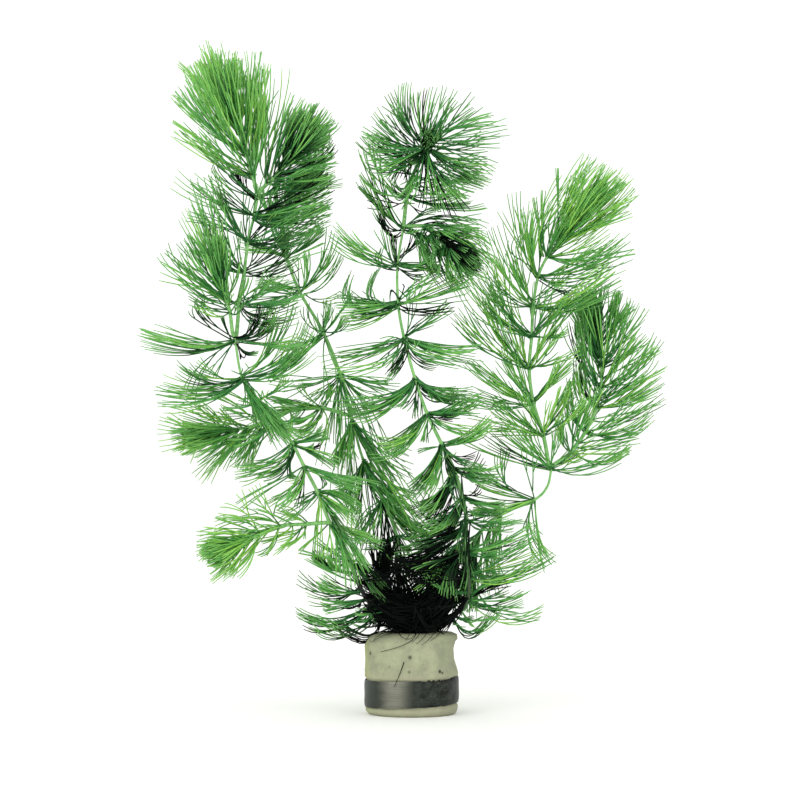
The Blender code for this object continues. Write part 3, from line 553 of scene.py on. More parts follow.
        (408, 198, 440, 209, 486, 203, 491, 198, 5, 0.60),
        (408, 196, 430, 200, 458, 196, 470, 186, 6, 0.50),
        (408, 200, 420, 212, 426, 215, 420, 204, 4, 0.90),
        (404, 196, 396, 190, 388, 180, 395, 176, 6, 0.80),
    ),
    "middle_side_tuft": (
        (406, 227, 445, 217, 482, 225, 493, 232, 5, 0.25, 0.5),
        (436, 229, 466, 234, 492, 256, 496, 246, 8, 0.20, 0.5),
        (437, 231, 468, 246, 500, 268, 490, 262, 10, 0.30, 0.5),
        (431, 234, 425, 256, 432, 277, 446, 290, 10, 0.45),
        (434, 236, 444, 264, 455, 290, 470, 298, 10, 0.40, 0.5),
        (438, 238, 460, 264, 480, 286, 492, 276, 10, 0.35, 0.5),
        (440, 237, 456, 253, 466, 264, 470, 258, 18, 1.60, 0.0),
        (440, 240, 452, 256, 470, 272, 478, 270, 12, 0.60, 0.3),
        (426, 226, 420, 240, 428, 262, 420, 252, 5, 0.60),
        (424, 224, 440, 224, 460, 236, 450, 232, 5, 0.40),
    ),
    "middle_stem": (
        (401, 230, 384, 226, 362, 205, 378, 196, 4, 0.75),
        (402, 231, 386, 236, 371, 206, 372, 214, 4, 0.95),
        (402, 228, 374, 205, 351, 168, 358, 167, 3, 0.15, 0.55),
        (401, 228, 382, 190, 364, 138, 370, 150, 3, 0.15, 0.55),
        (405, 229, 420, 236, 440, 262, 424, 258, 5, 0.60),
        (405, 228, 424, 214, 446, 214, 440, 206, 4, 0.60),
        (396, 266, 366, 259, 322, 222, 344, 244, 7, 0.15, 0.5),
        (394, 265, 376, 250, 361, 247, 362, 225, 2, 0.50),
        (392, 268, 378, 262, 378, 240, 382, 250, 2, 0.80),
        (400, 264, 420, 266, 443, 266, 448, 270, 6, 0.15, 0.5),
        (400, 266, 412, 275, 421, 279, 430, 272, 4, 0.85),
        (400, 262, 412, 248, 425, 236, 412, 238, 3, 0.60),
        (398, 262, 394, 246, 396, 236, 392, 232, 3, 0.80),
        (400, 301, 426, 297, 489, 273, 464, 291, 5, 0.25, 0.45),
        (400, 300, 418, 287, 440, 268, 452, 271, 4, 0.25, 0.5),
        (400, 304, 416, 312, 442, 311, 463, 304, 4, 0.65),
        (400, 302, 405, 290, 410, 280, 404, 296, 2, 0.80),
        (396, 304, 374, 317, 331, 328, 340, 318, 7, 0.35, 0.5),
        (396, 303, 372, 305, 318, 297, 332, 312, 6, 0.35, 0.5),
        (396, 305, 380, 312, 350, 318, 344, 306, 4, 0.75),
        (392, 302, 366, 300, 366, 262, 379, 266, 3, 0.15, 0.6),
        (390, 302, 350, 305, 342, 276, 352, 280, 4, 0.20, 0.6),
        (396, 301, 388, 286, 384, 296, 388, 300, 2, 0.90),
        (404, 338, 380, 348, 322, 357, 316, 370, 6, 0.15, 0.5),
        (403, 338, 390, 338, 380, 343, 372, 347, 1, 0.30),
        (402, 340, 380, 364, 319, 372, 334, 376, 3, 0.25, 0.5),
        (403, 342, 397, 362, 377, 386, 389, 382, 4, 0.60),
        (404, 342, 402, 362, 384, 385, 392, 378, 3, 0.70),
        (407, 338, 432, 352, 488, 354, 490, 368, 4, 0.25),
        (407, 339, 422, 356, 462, 367, 458, 362, 3, 0.55),
        (407, 340, 416, 360, 436, 370, 440, 362, 3, 0.90),
        (406, 336, 432, 320, 463, 295, 455, 302, 3, 0.25),
        (405, 335, 410, 318, 408, 296, 412, 302, 1, 0.40),
        (407, 338, 424, 346, 456, 350, 450, 358, 3, 0.50, 0.4),
        (406, 336, 418, 326, 438, 308, 444, 316, 2, 0.50, 0.4),
        (417, 378, 436, 390, 470, 390, 462, 396, 4, 0.50, 0.4),
        (430, 412, 448, 408, 470, 392, 464, 400, 3, 0.40, 0.45),
        (413, 379, 386, 402, 331, 408, 350, 416, 9, 0.15, 0.48),
        (413, 380, 390, 404, 356, 420, 372, 412, 7, 0.15, 0.5),
        (414, 381, 410, 400, 389, 409, 403, 421, 4, 0.70),
        (415, 382, 418, 400, 411, 421, 424, 413, 3, 0.60),
        (417, 378, 444, 399, 486, 399, 488, 405, 8, 0.20, 0.5),
        (417, 380, 440, 406, 463, 402, 480, 400, 3, 0.85),
        (426, 413, 407, 441, 380, 451, 386, 461, 9, 0.20, 0.46),
        (425, 414, 404, 444, 356, 452, 370, 458, 4, 0.30, 0.45),
        (427, 416, 424, 435, 420, 447, 427, 449, 4, 0.25),
        (429, 412, 455, 409, 480, 404, 485, 400, 5, 0.15, 0.52),
        (430, 413, 452, 418, 474, 414, 462, 421, 4, 0.55),
        (430, 414, 450, 428, 480, 432, 470, 438, 5, 0.20, 0.5),
        (441, 444, 433, 474, 405, 501, 425, 507, 12, 0.20, 0.45),
        (440, 446, 428, 478, 410, 494, 420, 502, 6, 0.20, 0.5),
        (440, 445, 425, 448, 407, 454, 412, 452, 1, 0.15),
        (444, 443, 470, 437, 500, 413, 490, 425, 8, 0.25, 0.6),
        (445, 444, 458, 460, 482, 455, 478, 464, 4, 1.05, 0.2),
        (446, 446, 462, 460, 489, 469, 482, 472, 3, 0.45),
        (445, 446, 450, 470, 462, 480, 456, 484, 5, 0.60),
        (451, 470, 441, 498, 411, 512, 420, 519, 14, 0.60, 0.4),
        (450, 470, 446, 495, 424, 520, 436, 524, 10, 0.80, 0.3),
        (456, 468, 474, 477, 502, 472, 506, 486, 7, 0.35),
        (457, 469, 470, 470, 484, 458, 478, 452, 2, 1.20, 0.1),
        (459, 498, 452, 518, 418, 526, 430, 534, 14, 0.65, 0.35),
        (458, 500, 456, 516, 444, 530, 450, 536, 10, 1.00, 0.2),
        (464, 495, 477, 495, 490, 486, 485, 482, 2, 1.20, 0.1),
        (465, 498, 486, 506, 512, 506, 500, 513, 6, 0.35),
        (463, 522, 442, 545, 394, 557, 406, 562, 16, 0.90, 0.2),
        (463, 521, 446, 538, 416, 548, 428, 552, 10, 0.85, 0.3),
        (468, 519, 490, 527, 529, 517, 526, 523, 4, 0.45),
        (468, 520, 498, 530, 528, 529, 520, 527, 2, 0.25),
        (460, 552, 430, 564, 384, 562, 394, 570, 16, 1.60, 0.0),
        (466, 550, 505, 551, 542, 536, 555, 520, 4, 0.20, 0.55),
        (466, 551, 496, 557, 531, 543, 536, 540, 3, 0.50),
        (464, 577, 436, 574, 398, 590, 412, 604, 13, 1.60, 0.0),
        (464, 574, 440, 566, 410, 570, 420, 560, 9, 0.80, 0.3),
        (470, 576, 508, 579, 541, 565, 556, 554, 6, 0.25, 0.62),
        (470, 575, 498, 566, 545, 549, 549, 554, 4, 0.20, 0.62),
        (470, 603, 503, 612, 543, 595, 549, 600, 4, 0.25, 0.6),
        (470, 604, 503, 619, 549, 610, 546, 614, 4, 0.25, 0.6),
        (468, 600, 484, 588, 500, 574, 513, 583, 8, 0.35, 0.5),
        (469, 601, 492, 598, 512, 593, 507, 588, 4, 0.30, 0.5),
        (467, 600, 446, 601, 400, 612, 412, 626, 14, 1.60, 0.0),
        (468, 577, 444, 592, 414, 606, 426, 616, 11, 1.60, 0.0),
        (462, 552, 452, 572, 440, 596, 452, 600, 9, 0.80, 0.3),
        (455, 615, 434, 622, 398, 631, 412, 633, 14, 1.60, 0.0),
        (454, 612, 446, 622, 430, 631, 444, 630, 12, 1.60, 0.0),
        (456, 622, 474, 637, 496, 618, 504, 606, 5, 0.45, 0.5),
        (464, 596, 458, 610, 440, 626, 448, 622, 6, 1.60, 0.0),
        (452, 560, 438, 578, 412, 592, 424, 598, 7, 0.30, 0.4),
        (462, 590, 446, 590, 420, 578, 430, 572, 5, 0.35, 0.4),
        (458, 540, 444, 556, 424, 584, 434, 588, 6, 0.30, 0.45),
    ),
    "right_stem": (
        (534, 500, 502, 488, 461, 474, 465, 464, 8, 0.10, 0.5),
        (533, 499, 500, 500, 463, 500, 470, 495, 3, 0.20),
        (533, 502, 505, 511, 476, 520, 490, 515, 8, 0.15, 0.5),
        (534, 503, 528, 530, 526, 552, 530, 530, 3, 0.15),
        (534, 504, 530, 545, 552, 581, 558, 579, 4, 0.10, 0.7),
        (533, 498, 530, 476, 528, 440, 534, 462, 3, 0.30),
        (507, 487, 501, 465, 499, 434, 507, 440, 4, 0.05, 0.65),
        (501, 514, 480, 509, 463, 508, 466, 513, 5, 0.50),
        (500, 516, 494, 540, 484, 562, 496, 568, 10, 0.15, 0.6),
        (492, 524, 488, 560, 478, 592, 502, 600, 14, 0.05, 0.62),
        (482, 530, 476, 548, 464, 566, 472, 578, 10, 0.30, 0.5),
        (470, 545, 468, 566, 462, 590, 470, 600, 10, 0.35, 0.48),
        (472, 552, 480, 578, 508, 578, 512, 590, 4, 0.25, 0.62),
        (470, 578, 474, 598, 466, 618, 482, 618, 8, 0.40, 0.52),
        (551, 469, 517, 457, 476, 437, 484, 428, 9, 0.10),
        (551, 468, 524, 443, 496, 424, 508, 418, 9, 0.10),
        (550, 468, 534, 447, 518, 416, 532, 424, 6, 0.15),
        (552, 470, 588, 476, 630, 448, 625, 455, 3, 0.15, 0.55),
        (553, 468, 562, 461, 572, 450, 584, 452, 4, 0.20),
        (552, 467, 556, 446, 554, 420, 562, 414, 4, 0.15),
    ),
    "right_inner_shoot": (
        (543, 436, 505, 428, 464, 417, 472, 430, 8, 0.25),
        (543, 436, 514, 416, 484, 394, 498, 400, 9, 0.20),
        (542, 434, 529, 410, 508, 376, 520, 390, 6, 0.20),
        (545, 433, 560, 406, 577, 374, 570, 396, 9, 0.35),
        (545, 435, 568, 420, 592, 392, 586, 400, 4, 0.30),
        (533, 403, 500, 405, 461, 389, 463, 404, 6, 0.25),
        (533, 402, 505, 390, 469, 358, 481, 372, 10, 0.15),
        (532, 400, 514, 376, 496, 345, 510, 350, 6, 0.15),
        (536, 400, 551, 380, 577, 350, 572, 366, 9, 0.35),
        (529, 369, 484, 344, 444, 300, 456, 318, 10, 0.10, 0.66),
        (529, 368, 503, 340, 482, 288, 494, 300, 10, 0.10, 0.62),
        (529, 367, 519, 344, 508, 310, 516, 320, 4, 0.25),
        (531, 367, 556, 362, 580, 345, 575, 355, 5, 0.35),
        (531, 366, 549, 336, 574, 300, 564, 312, 9, 0.30),
        (531, 337, 490, 315, 466, 275, 462, 290, 11, 0.15, 0.64),
        (531, 336, 506, 310, 486, 260, 498, 268, 8, 0.12),
        (531, 335, 518, 318, 505, 294, 513, 300, 3, 0.25),
        (533, 337, 554, 338, 568, 330, 572, 336, 4, 0.30),
        (533, 336, 554, 316, 582, 284, 592, 290, 10, 0.30),
        (533, 306, 500, 298, 470, 276, 478, 264, 8, 0.35),
        (533, 305, 510, 280, 484, 232, 495, 221, 8, 0.12),
        (533, 304, 518, 275, 505, 248, 512, 254, 6, 0.15),
        (534, 306, 570, 306, 605, 290, 634, 278, 10, 0.30, 0.6),
        (534, 303, 552, 290, 580, 272, 574, 262, 5, 0.30),
        (538, 277, 523, 246, 516, 190, 524, 186, 6, 0.15),
        (538, 276, 528, 248, 532, 196, 541, 198, 7, 0.20),
        (537, 275, 539, 252, 538, 232, 543, 235, 3, 0.40),
        (530, 268, 510, 252, 520, 230, 504, 244, 3, 0.15),
        (539, 277, 584, 270, 625, 249, 626, 260, 7, 0.15),
        (540, 278, 572, 283, 606, 268, 616, 262, 4, 0.20),
        (541, 279, 560, 289, 582, 292, 576, 286, 4, 0.85),
        (547, 257, 541, 222, 561, 180, 568, 174, 8, 0.10, 0.75),
        (549, 258, 592, 265, 632, 245, 633, 249, 4, 0.12),
        (549, 257, 580, 249, 612, 231, 616, 222, 5, 0.15),
        (550, 252, 562, 204, 587, 156, 598, 153, 9, 0.05, 0.82),
        (553, 246, 572, 208, 598, 166, 612, 166, 11, 0.05, 0.85),
        (555, 244, 592, 206, 616, 170, 627, 176, 14, 0.05, 0.92),
        (556, 246, 600, 218, 629, 186, 637, 191, 12, 0.05, 0.92),
        (554, 250, 594, 228, 632, 200, 622, 214, 8, 0.05, 0.85),
        (556, 240, 575, 216, 597, 186, 604, 192, 16, 0.30, 0.52),
    ),
    "right_outer_shoot": (
        (570, 451, 559, 435, 554, 400, 563, 410, 5, 0.30),
        (572, 450, 577, 425, 580, 400, 592, 398, 6, 0.30),
        (573, 453, 602, 462, 628, 450, 634, 446, 5, 0.15, 0.6),
        (573, 451, 602, 446, 636, 440, 640, 436, 5, 0.15, 0.6),
        (570, 455, 572, 463, 586, 460, 584, 458, 2, 0.15),
        (585, 431, 571, 412, 567, 385, 576, 390, 7, 0.35),
        (587, 432, 628, 434, 669, 404, 662, 420, 8, 0.15, 0.62),
        (587, 431, 620, 421, 656, 392, 665, 398, 6, 0.15, 0.62),
        (586, 430, 592, 405, 606, 380, 612, 388, 6, 0.30),
        (595, 408, 579, 385, 571, 355, 586, 360, 10, 0.40),
        (597, 409, 628, 401, 666, 380, 668, 370, 11, 0.12, 0.64),
        (597, 407, 618, 390, 640, 362, 650, 372, 8, 0.20),
        (600, 388, 582, 360, 567, 320, 578, 325, 11, 0.45, 0.45),
        (602, 388, 636, 372, 662, 350, 656, 334, 10, 0.20, 0.6),
        (602, 386, 620, 360, 640, 335, 632, 330, 8, 0.30),
        (600, 367, 585, 336, 571, 302, 580, 290, 12, 0.45, 0.42),
        (602, 367, 630, 352, 648, 330, 654, 337, 7, 0.20, 0.6),
        (602, 366, 622, 336, 640, 305, 645, 302, 8, 0.20, 0.6),
        (598, 348, 590, 316, 584, 286, 593, 281, 12, 0.45, 0.42),
        (600, 348, 612, 316, 615, 292, 623, 286, 12, 0.30, 0.55),
        (600, 346, 620, 322, 632, 300, 638, 303, 8, 0.25, 0.58),
        (598, 352, 594, 328, 588, 302, 596, 306, 18, 1.10, 0.0),
        (597, 344, 598, 315, 596, 280, 604, 283, 12, 0.50, 0.42),
    ),
}

# Where leaves are shaded to near black, as (x, z, spread, strength) in the picture plane
DARK_SPOTS = (
    (-1.0, 34.0, 15.0, 1.9),
    (13.0, 48.0, 10.0, 1.2),
    (-14.0, 44.0, 8.0, 1.2),
    (-6.0, 54.0, 11.0, 0.55),
    (17.0, 70.0, 11.0, 0.42),
    (16.0, 82.0, 9.0, 0.25),
    (-44.0, 208.0, 7.0, 0.75),
    (17.0, 172.0, 7.0, 0.75),
    (6.0, 208.0, 8.0, 0.45),
    (67.0, 141.0, 7.0, 0.40),
    (-62.0, 163.0, 10.0, 0.25),
    (-3.0, 165.0, 8.0, 0.25),
)

# Places in the front view are counted in steps across from its left and down from its top: where
# the bunch's middle and the foot's underside are, and a step in millimetres.
FRONT_MIDDLE = 411.5
FRONT_FOOT = 713.4
FRONT_STEP = 0.37

# A sweep's start that is this near to the stem is moved onto it, in millimetres.
STEM_CATCH = 3.5
# As shares of a sweep's length: how far it leans and spreads to the front or back, how uneven its
# leaves are and how much shorter the shortest is.
SWEEP_LEAN = 0.25
SWEEP_DEPTH = 0.16
SWEEP_SHAKE = 0.018
SWEEP_SHORT = 0.35
# The threads that a leaf of a sweep stands for in the tables, and how far its threads part: as a
# share of the fork spread, and of the gap to the next leaf. A fan is this open half way along.
SWEEP_SHARED = 3.3
SWEEP_OPENING = 0.75
SWEEP_FILL = 0.8
SWEEP_FAN = 0.72
SWEEP_UNEVEN = 0.25
SWEEP_START_SPREAD = 0.5
# Leaves that reach less far than this, in millimetres, fork once and the others twice.
SHORT_REACH = 9.0
SHORT_THREADS = 2
LONG_THREADS = 4
# Below this tone some leaves, more of them the deeper the tone, are shaded further along.
DARK_TONE = 0.68
DARK_REACH = (0.2, 0.8)

# Whorls: how unevenly their leaves stand round the stem, the bundles they cling in, where they
# start and bow, how uneven their tips are and how their tones and shades vary.
WHORL_UNEVEN = 0.3
WHORL_BUNDLES = 3
WHORL_LEAST = 3
WHORL_DEEP_START = 0.7
WHORL_HEIGHT = 0.35
WHORL_SAG = (0.4, 1.6)
WHORL_BOW = (0.5, 0.62)
WHORL_SHAKE = 0.07
WHORL_TONE_SPREAD = 0.16
WHORL_SHADE = 0.10

# Buds: rings of young leaves, the leaves in a ring, their length and how far out they stand
BUD_RINGS = 5
BUD_LEAVES = 12
BUD_LENGTH = 22.0
BUD_OUT = (1.0, 4.5)
BUD_FORK = 1.2
BUD_THICK = 0.8

# Forks: the shares of a leaf where it forks first and again, and how far its threads part there
# as shares of its spread. Threads thin towards their tips, and the second ones are thinner.
FIRST_FORK = (0.10, 0.36)
SECOND_FORK = (0.38, 0.68)
FIRST_PARTING = (0.35, 0.6)
SECOND_PARTING = (0.20, 0.34)
PARTING_CURVE = 0.75
THREAD_WAVE = 0.12
THREAD_CURL = 0.30
CURL_START = 0.45
THREAD_BASE = 1.10
THREAD_THINNING = 0.32
THREAD_TIP = 0.7
SECOND_THICK = 0.94
THREAD_TONE_SPREAD = 0.11

# Tangles: the shoot whose leaves they are, the boxes of front view places that the threads start
# and end in, how deep they are, how far they dip, how many there are and how far their painted
# shade reaches.
TANGLES = (
    ("back_stem", (368, 530, 398, 565), (364, 580, 402, 620), 4.0, 1.0, 36, 1.60),
    ("back_stem", (368, 574, 396, 600), (385, 606, 436, 630), 2.0, 4.0, 38, 1.60),
    ("back_stem", (395, 590, 445, 612), (374, 608, 410, 632), 4.0, 4.0, 60, 1.60),
    ("middle_stem", (446, 548, 464, 586), (406, 568, 430, 596), -6.0, 3.0, 14, 1.60),
    ("middle_stem", (444, 576, 460, 600), (388, 606, 430, 632), -4.0, 5.0, 48, 1.60),
    ("middle_stem", (430, 545, 460, 575), (424, 590, 450, 630), -2.0, 1.0, 26, 1.60),
    ("middle_stem", (405, 584, 446, 608), (412, 610, 444, 632), 2.0, 2.0, 48, 1.60),
    ("middle_stem", (378, 600, 430, 616), (396, 622, 444, 634), -5.0, 3.0, 62, 1.60),
    ("left_stem", (362, 592, 384, 612), (388, 610, 436, 632), -8.0, 3.0, 40, 1.60),
    ("left_stem", (368, 600, 392, 616), (352, 604, 376, 622), -6.0, 2.0, 12, 0.80),
    ("right_stem", (440, 590, 458, 606), (392, 606, 436, 632), 6.0, 3.0, 34, 1.60),
    ("right_stem", (460, 540, 478, 570), (452, 580, 474, 618), 5.0, 1.0, 26, 0.75),
    ("middle_stem", (460, 498, 470, 530), (458, 545, 474, 590), -17.0, 0.5, 6, 0.80),
    ("middle_stem", (448, 460, 464, 480), (458, 505, 470, 530), -17.0, 0.5, 4, 0.80),
)
TANGLE_DEPTH = 5.0
TANGLE_BOW = 0.12
TANGLE_DIP = (0.3, 1.4)
TANGLE_FORK = 0.1

# Loose threads that lie over the front of the foam, as front view places
STRAYS = (
    ((401, 629), (392, 633), (382, 636), (371, 642)),
    ((396, 629), (388, 631), (379, 635), (373, 640)),
    ((418, 629), (412, 640), (398, 647), (380, 652)),
    ((397, 630), (402, 637), (410, 639), (416, 633)),
    ((436, 629), (431, 637), (422, 645)),
    ((429, 629), (424, 637), (416, 644)),
    ((421, 629), (418, 636), (412, 642)),
    ((410, 629), (409, 635), (405, 640)),
    ((441, 629), (438, 635), (430, 641)),
    ((404, 662), (400, 673), (394, 687)),
)
STRAY_WIDTH = 0.34
STRAY_CLEAR = 0.45

# Rows of the bake map: a leaf's tone and shade are rounded to these, so that leaves share rows
TONES = 8
SHADES = (0.02, 0.14, 0.30, 0.52, 0.80, 1.25)
STEM_ROWS = 0.22


def darkness(point):
    """How far painted shade darkens the leaves at a point, from the spots where the bunch is densest."""
    total = 0.0
    for x, z, spread, strength in DARK_SPOTS:
        gap = math.hypot(point.x - x, point.z - z) / spread
        total += strength * math.exp(-gap * gap)
    return total


# Shapes of stems


def stem_frames(points):
    """(along, side, back) at each point; side starts in the picture plane and isn't twisted."""
    directions = []
    for index in range(len(points)):
        before = points[max(index - 1, 0)]
        after = points[min(index + 1, len(points) - 1)]
        directions.append((after - before).normalized())
    side = FRONT_TO_BACK.cross(directions[0]).normalized()
    frames = []
    for index, along in enumerate(directions):
        if index:
            side = directions[index - 1].rotation_difference(along) @ side
        side = (side - along * side.dot(along)).normalized()
        frames.append((along, side, along.cross(side)))
    return frames


def smooth_point(points, index, share):
    """A point on the smooth line through all the points, a share of the way past one of them."""
    first = points[max(index - 1, 0)]
    second = points[index]
    third = points[min(index + 1, len(points) - 1)]
    fourth = points[min(index + 2, len(points) - 1)]
    square = share * share
    cube = square * share
    return 0.5 * (
        second * 2
        + (third - first) * share
        + (first * 2 - second * 5 + third * 4 - fourth) * square
        + (second * 3 - first - third * 3 + fourth) * cube
    )


def mix_pair(one, two, share):
    return (one[0] * (1 - share) + two[0] * share, one[1] * (1 - share) + two[1] * share)


def grown_places(shoot):
    """The shoot's places with the extra whorls that grow between two of the same kind."""
    points = [place.at for place in shoot.places]
    grown = []
    for index, place in enumerate(shoot.places):
        grown.append(place)
        if index + 1 == len(shoot.places):
            break
        after = shoot.places[index + 1]
        if place.kind == after.kind and place.kind != "bend":
            for step in range(shoot.between):
                share = (step + 1) / (shoot.between + 1)
                left = mix_pair(place.left, after.left, share)
                right = mix_pair(place.right, after.right, share)
                grown.append(Place(place.kind, smooth_point(points, index, share), left, right))
    return grown


# Shapes of leaves

# A leaf's midline: where it starts, the point it bows through and its tip, with how far its
# threads spread at their ends and how thick it is at its base.
Leaf = namedtuple("Leaf", "start bow tip across spread thick tone shade threads")


def leaf_reach(place, frame, radial):
    """(along, out) of the leaf tip that leaves the stem in the direction radial."""
    if place.kind == "rosette":
        return place.left
    along = frame[0]
    side = FRONT_TO_BACK.cross(along)
    if side.length < 0.3:
        side = frame[1]
    side = side.normalized()
    left = Vector((place.left[0], 0.0, place.left[1]))
    right = Vector((place.right[0], 0.0, place.right[1]))
    share = (1.0 + radial.dot(side)) / 2
    rise = left.dot(along) * (1 - share) + right.dot(along) * share
    out = -left.dot(side) * (1 - share) + right.dot(side) * share
    return rise, out


def front_place(across, down, depth):
    """The point at a depth that is seen at a place across and down the front view."""
    return seen_at((across - FRONT_MIDDLE) * FRONT_STEP, depth, (FRONT_FOOT - down) * FRONT_STEP)


def on_stem(points, place):
    """The point of a stem that is seen nearest to a place of the plane y = 0."""
    best = None
    for first, second in zip(points, points[1:]):
        ends = []
        for point in (first, second):
            spread = (point.y - EYE.y) / -EYE.y
            ends.append(Vector(((point.x - EYE.x) / spread, (point.z - EYE.z) / spread)))
        aim = Vector((place.x - EYE.x, place.z - EYE.z))
        line = ends[1] - ends[0]
        share = min(1.0, max(0.0, (aim - ends[0]).dot(line) / line.length_squared))
        gap = (aim - ends[0] - line * share).length
        if best is None or gap < best[0]:
            best = (gap, first + (second - first) * share)
    return best


def sweep_leaves(name, shoot, chance, settings):
    """The leaves of a shoot that are placed one by one, as the front view shows them."""
    points = [place.at for place in shoot.places]
    if shoot.root is not None:
        points.insert(0, seen_at(*shoot.root))
    leaves = []
    for row in SWEEPS[name]:
        start_at, by_at, first_at, last_at = (row[step:step + 2] for step in (0, 2, 4, 6))
        count, reach_of_shade = row[8:10]
        tone = row[10] if len(row) > 10 else shoot.tone
        gap, stem = on_stem(points, front_place(*start_at, 0.0))
        start = stem if gap < STEM_CATCH else front_place(*start_at, stem.y)
        middle = [(one + two) / 2 for one, two in zip(first_at, last_at)]
        reach = (front_place(*middle, stem.y) - start).length
        width = math.dist(first_at, last_at) * FRONT_STEP
        lean = chance.uniform(-1.0, 1.0) * reach * SWEEP_LEAN
        number = max(1, round(count * shoot.fullness / SWEEP_SHARED))
        for step in range(number):
            share = (step + 0.5 + chance.uniform(-SWEEP_UNEVEN, SWEEP_UNEVEN)) / number
            deep = lean + chance.gauss(0, reach * SWEEP_DEPTH)
            tip_at = [one + (two - one) * share for one, two in zip(first_at, last_at)]
            length = 1.0 - SWEEP_SHORT * chance.random() ** 2
            by = front_place(
                by_at[0] + (tip_at[0] - middle[0]) * SWEEP_FAN,
                by_at[1] + (tip_at[1] - middle[1]) * SWEEP_FAN,
                stem.y + deep * 0.6,
            )
            tip = front_place(*tip_at, stem.y + deep)
            shake = reach * SWEEP_SHAKE
            by += Vector([chance.gauss(0, shake) for _ in range(3)])
            tip += Vector([chance.gauss(0, shake) for _ in range(3)])
            by = start + (by - start) * length
            tip = start + (tip - start) * length
            bow = by * 2 - (start + tip) / 2
            across = (tip - start).cross(FRONT_TO_BACK).normalized()
            spread = max(reach * settings.fork_spread * SWEEP_OPENING, width / number * SWEEP_FILL)
            spread *= chance.uniform(0.75, 1.25)
            leaf_tone = tone + chance.gauss(0, 0.18)
            leaf_shade = reach_of_shade + chance.gauss(0, 0.12)
            if chance.random() < DARK_TONE - tone:
                leaf_shade += chance.uniform(*DARK_REACH)
            begin = start + Vector([chance.gauss(0, SWEEP_START_SPREAD) for _ in range(3)])
            threads = LONG_THREADS if reach > SHORT_REACH else SHORT_THREADS
            leaves.append(Leaf(begin, bow, tip, across, spread, 1.0, leaf_tone, leaf_shade, threads))
    return leaves


def tangle_leaves(name, shoot, chance):
    """The threads that cross each other where the stems meet the foam, mostly drawn near black with painted
    shade.
    """
    leaves = []
    for owner, starts, ends, deep, dip, count, shade in TANGLES:
        if owner != name:
            continue
        for step in range(count):
            ways = [
                front_place(
                    chance.uniform(box[0], box[2]), chance.uniform(box[1], box[3]),
                    deep + chance.gauss(0, TANGLE_DEPTH),
                )
                for box in (starts, ends)
            ]
            reach = (ways[1] - ways[0]).length
            bow = (ways[0] + ways[1]) / 2 + Vector((
                chance.gauss(0, reach * TANGLE_BOW),
                chance.gauss(0, reach * TANGLE_BOW),
                -dip * chance.uniform(*TANGLE_DIP),
            ))
            across = (ways[1] - ways[0]).cross(FRONT_TO_BACK).normalized()
            tone = shoot.tone + chance.gauss(0, 0.12)
            dark = shade + chance.gauss(0, 0.15)
            fork = reach * TANGLE_FORK
            leaves.append(Leaf(ways[0], bow, ways[1], across, fork, 1.0, tone, dark, SHORT_THREADS))
    return leaves


def rounded_tone(tone):
    return min(TONES - 1, max(0, round(tone * (TONES - 1))))


def rounded_shade(shade):
    return min(range(len(SHADES)), key=lambda step: abs(SHADES[step] - shade))


def whorl_leaves(place, frame, radius, shoot, chance, settings):
    """The leaves of one whorl, spread evenly round the stem and drawn into a few bundles."""
    along, side, back = frame
    count = max(WHORL_LEAST, round(shoot.leaves * settings.whorl_share))
    turn = chance.uniform(0, 2 * math.pi)
    bundles = [chance.uniform(0, 2 * math.pi) for _ in range(WHORL_BUNDLES)]
    leaves = []
    for step in range(count):
        angle = turn + 2 * math.pi * (step + chance.uniform(-WHORL_UNEVEN, WHORL_UNEVEN)) / count
        nearest = min(bundles, key=lambda b: abs(math.remainder(b - angle, 2 * math.pi)))
        pull = math.remainder(nearest - angle, 2 * math.pi)
        angle += pull * settings.bundling * chance.uniform(0.3, 1.0)
        radial = side * math.cos(angle) + back * math.sin(angle)
        rise, out = leaf_reach(place, frame, radial)
        length = chance.uniform(1 - settings.length_spread, 1.0)
        reach = math.hypot(rise, out)
        start = place.at + radial * radius * WHORL_DEEP_START
        start += along * chance.uniform(-WHORL_HEIGHT, WHORL_HEIGHT)
        sag = chance.uniform(*WHORL_SAG) * settings.sag / MM
        bow_out = chance.uniform(*WHORL_BOW)
        bow = start + (along * (rise * 0.5 - sag) + radial * (out * bow_out)) * length
        tip = start + (along * rise + radial * out) * length
        shake = reach * WHORL_SHAKE
        tip += Vector([chance.gauss(0, shake) for _ in range(3)])
        bow += Vector([chance.gauss(0, shake * 0.5) for _ in range(3)])
        tone = shoot.tone + chance.gauss(0, WHORL_TONE_SPREAD)
        shade = WHORL_SHADE + max(darkness(bow), darkness(tip) * 0.9) + chance.gauss(0, WHORL_SHADE)
        spread = reach * chance.uniform(0.6, 1.3) * settings.fork_spread
        across = along.cross(radial)
        leaves.append(Leaf(start, bow, tip, across, spread, 1.0, tone, shade, LONG_THREADS))
    return leaves


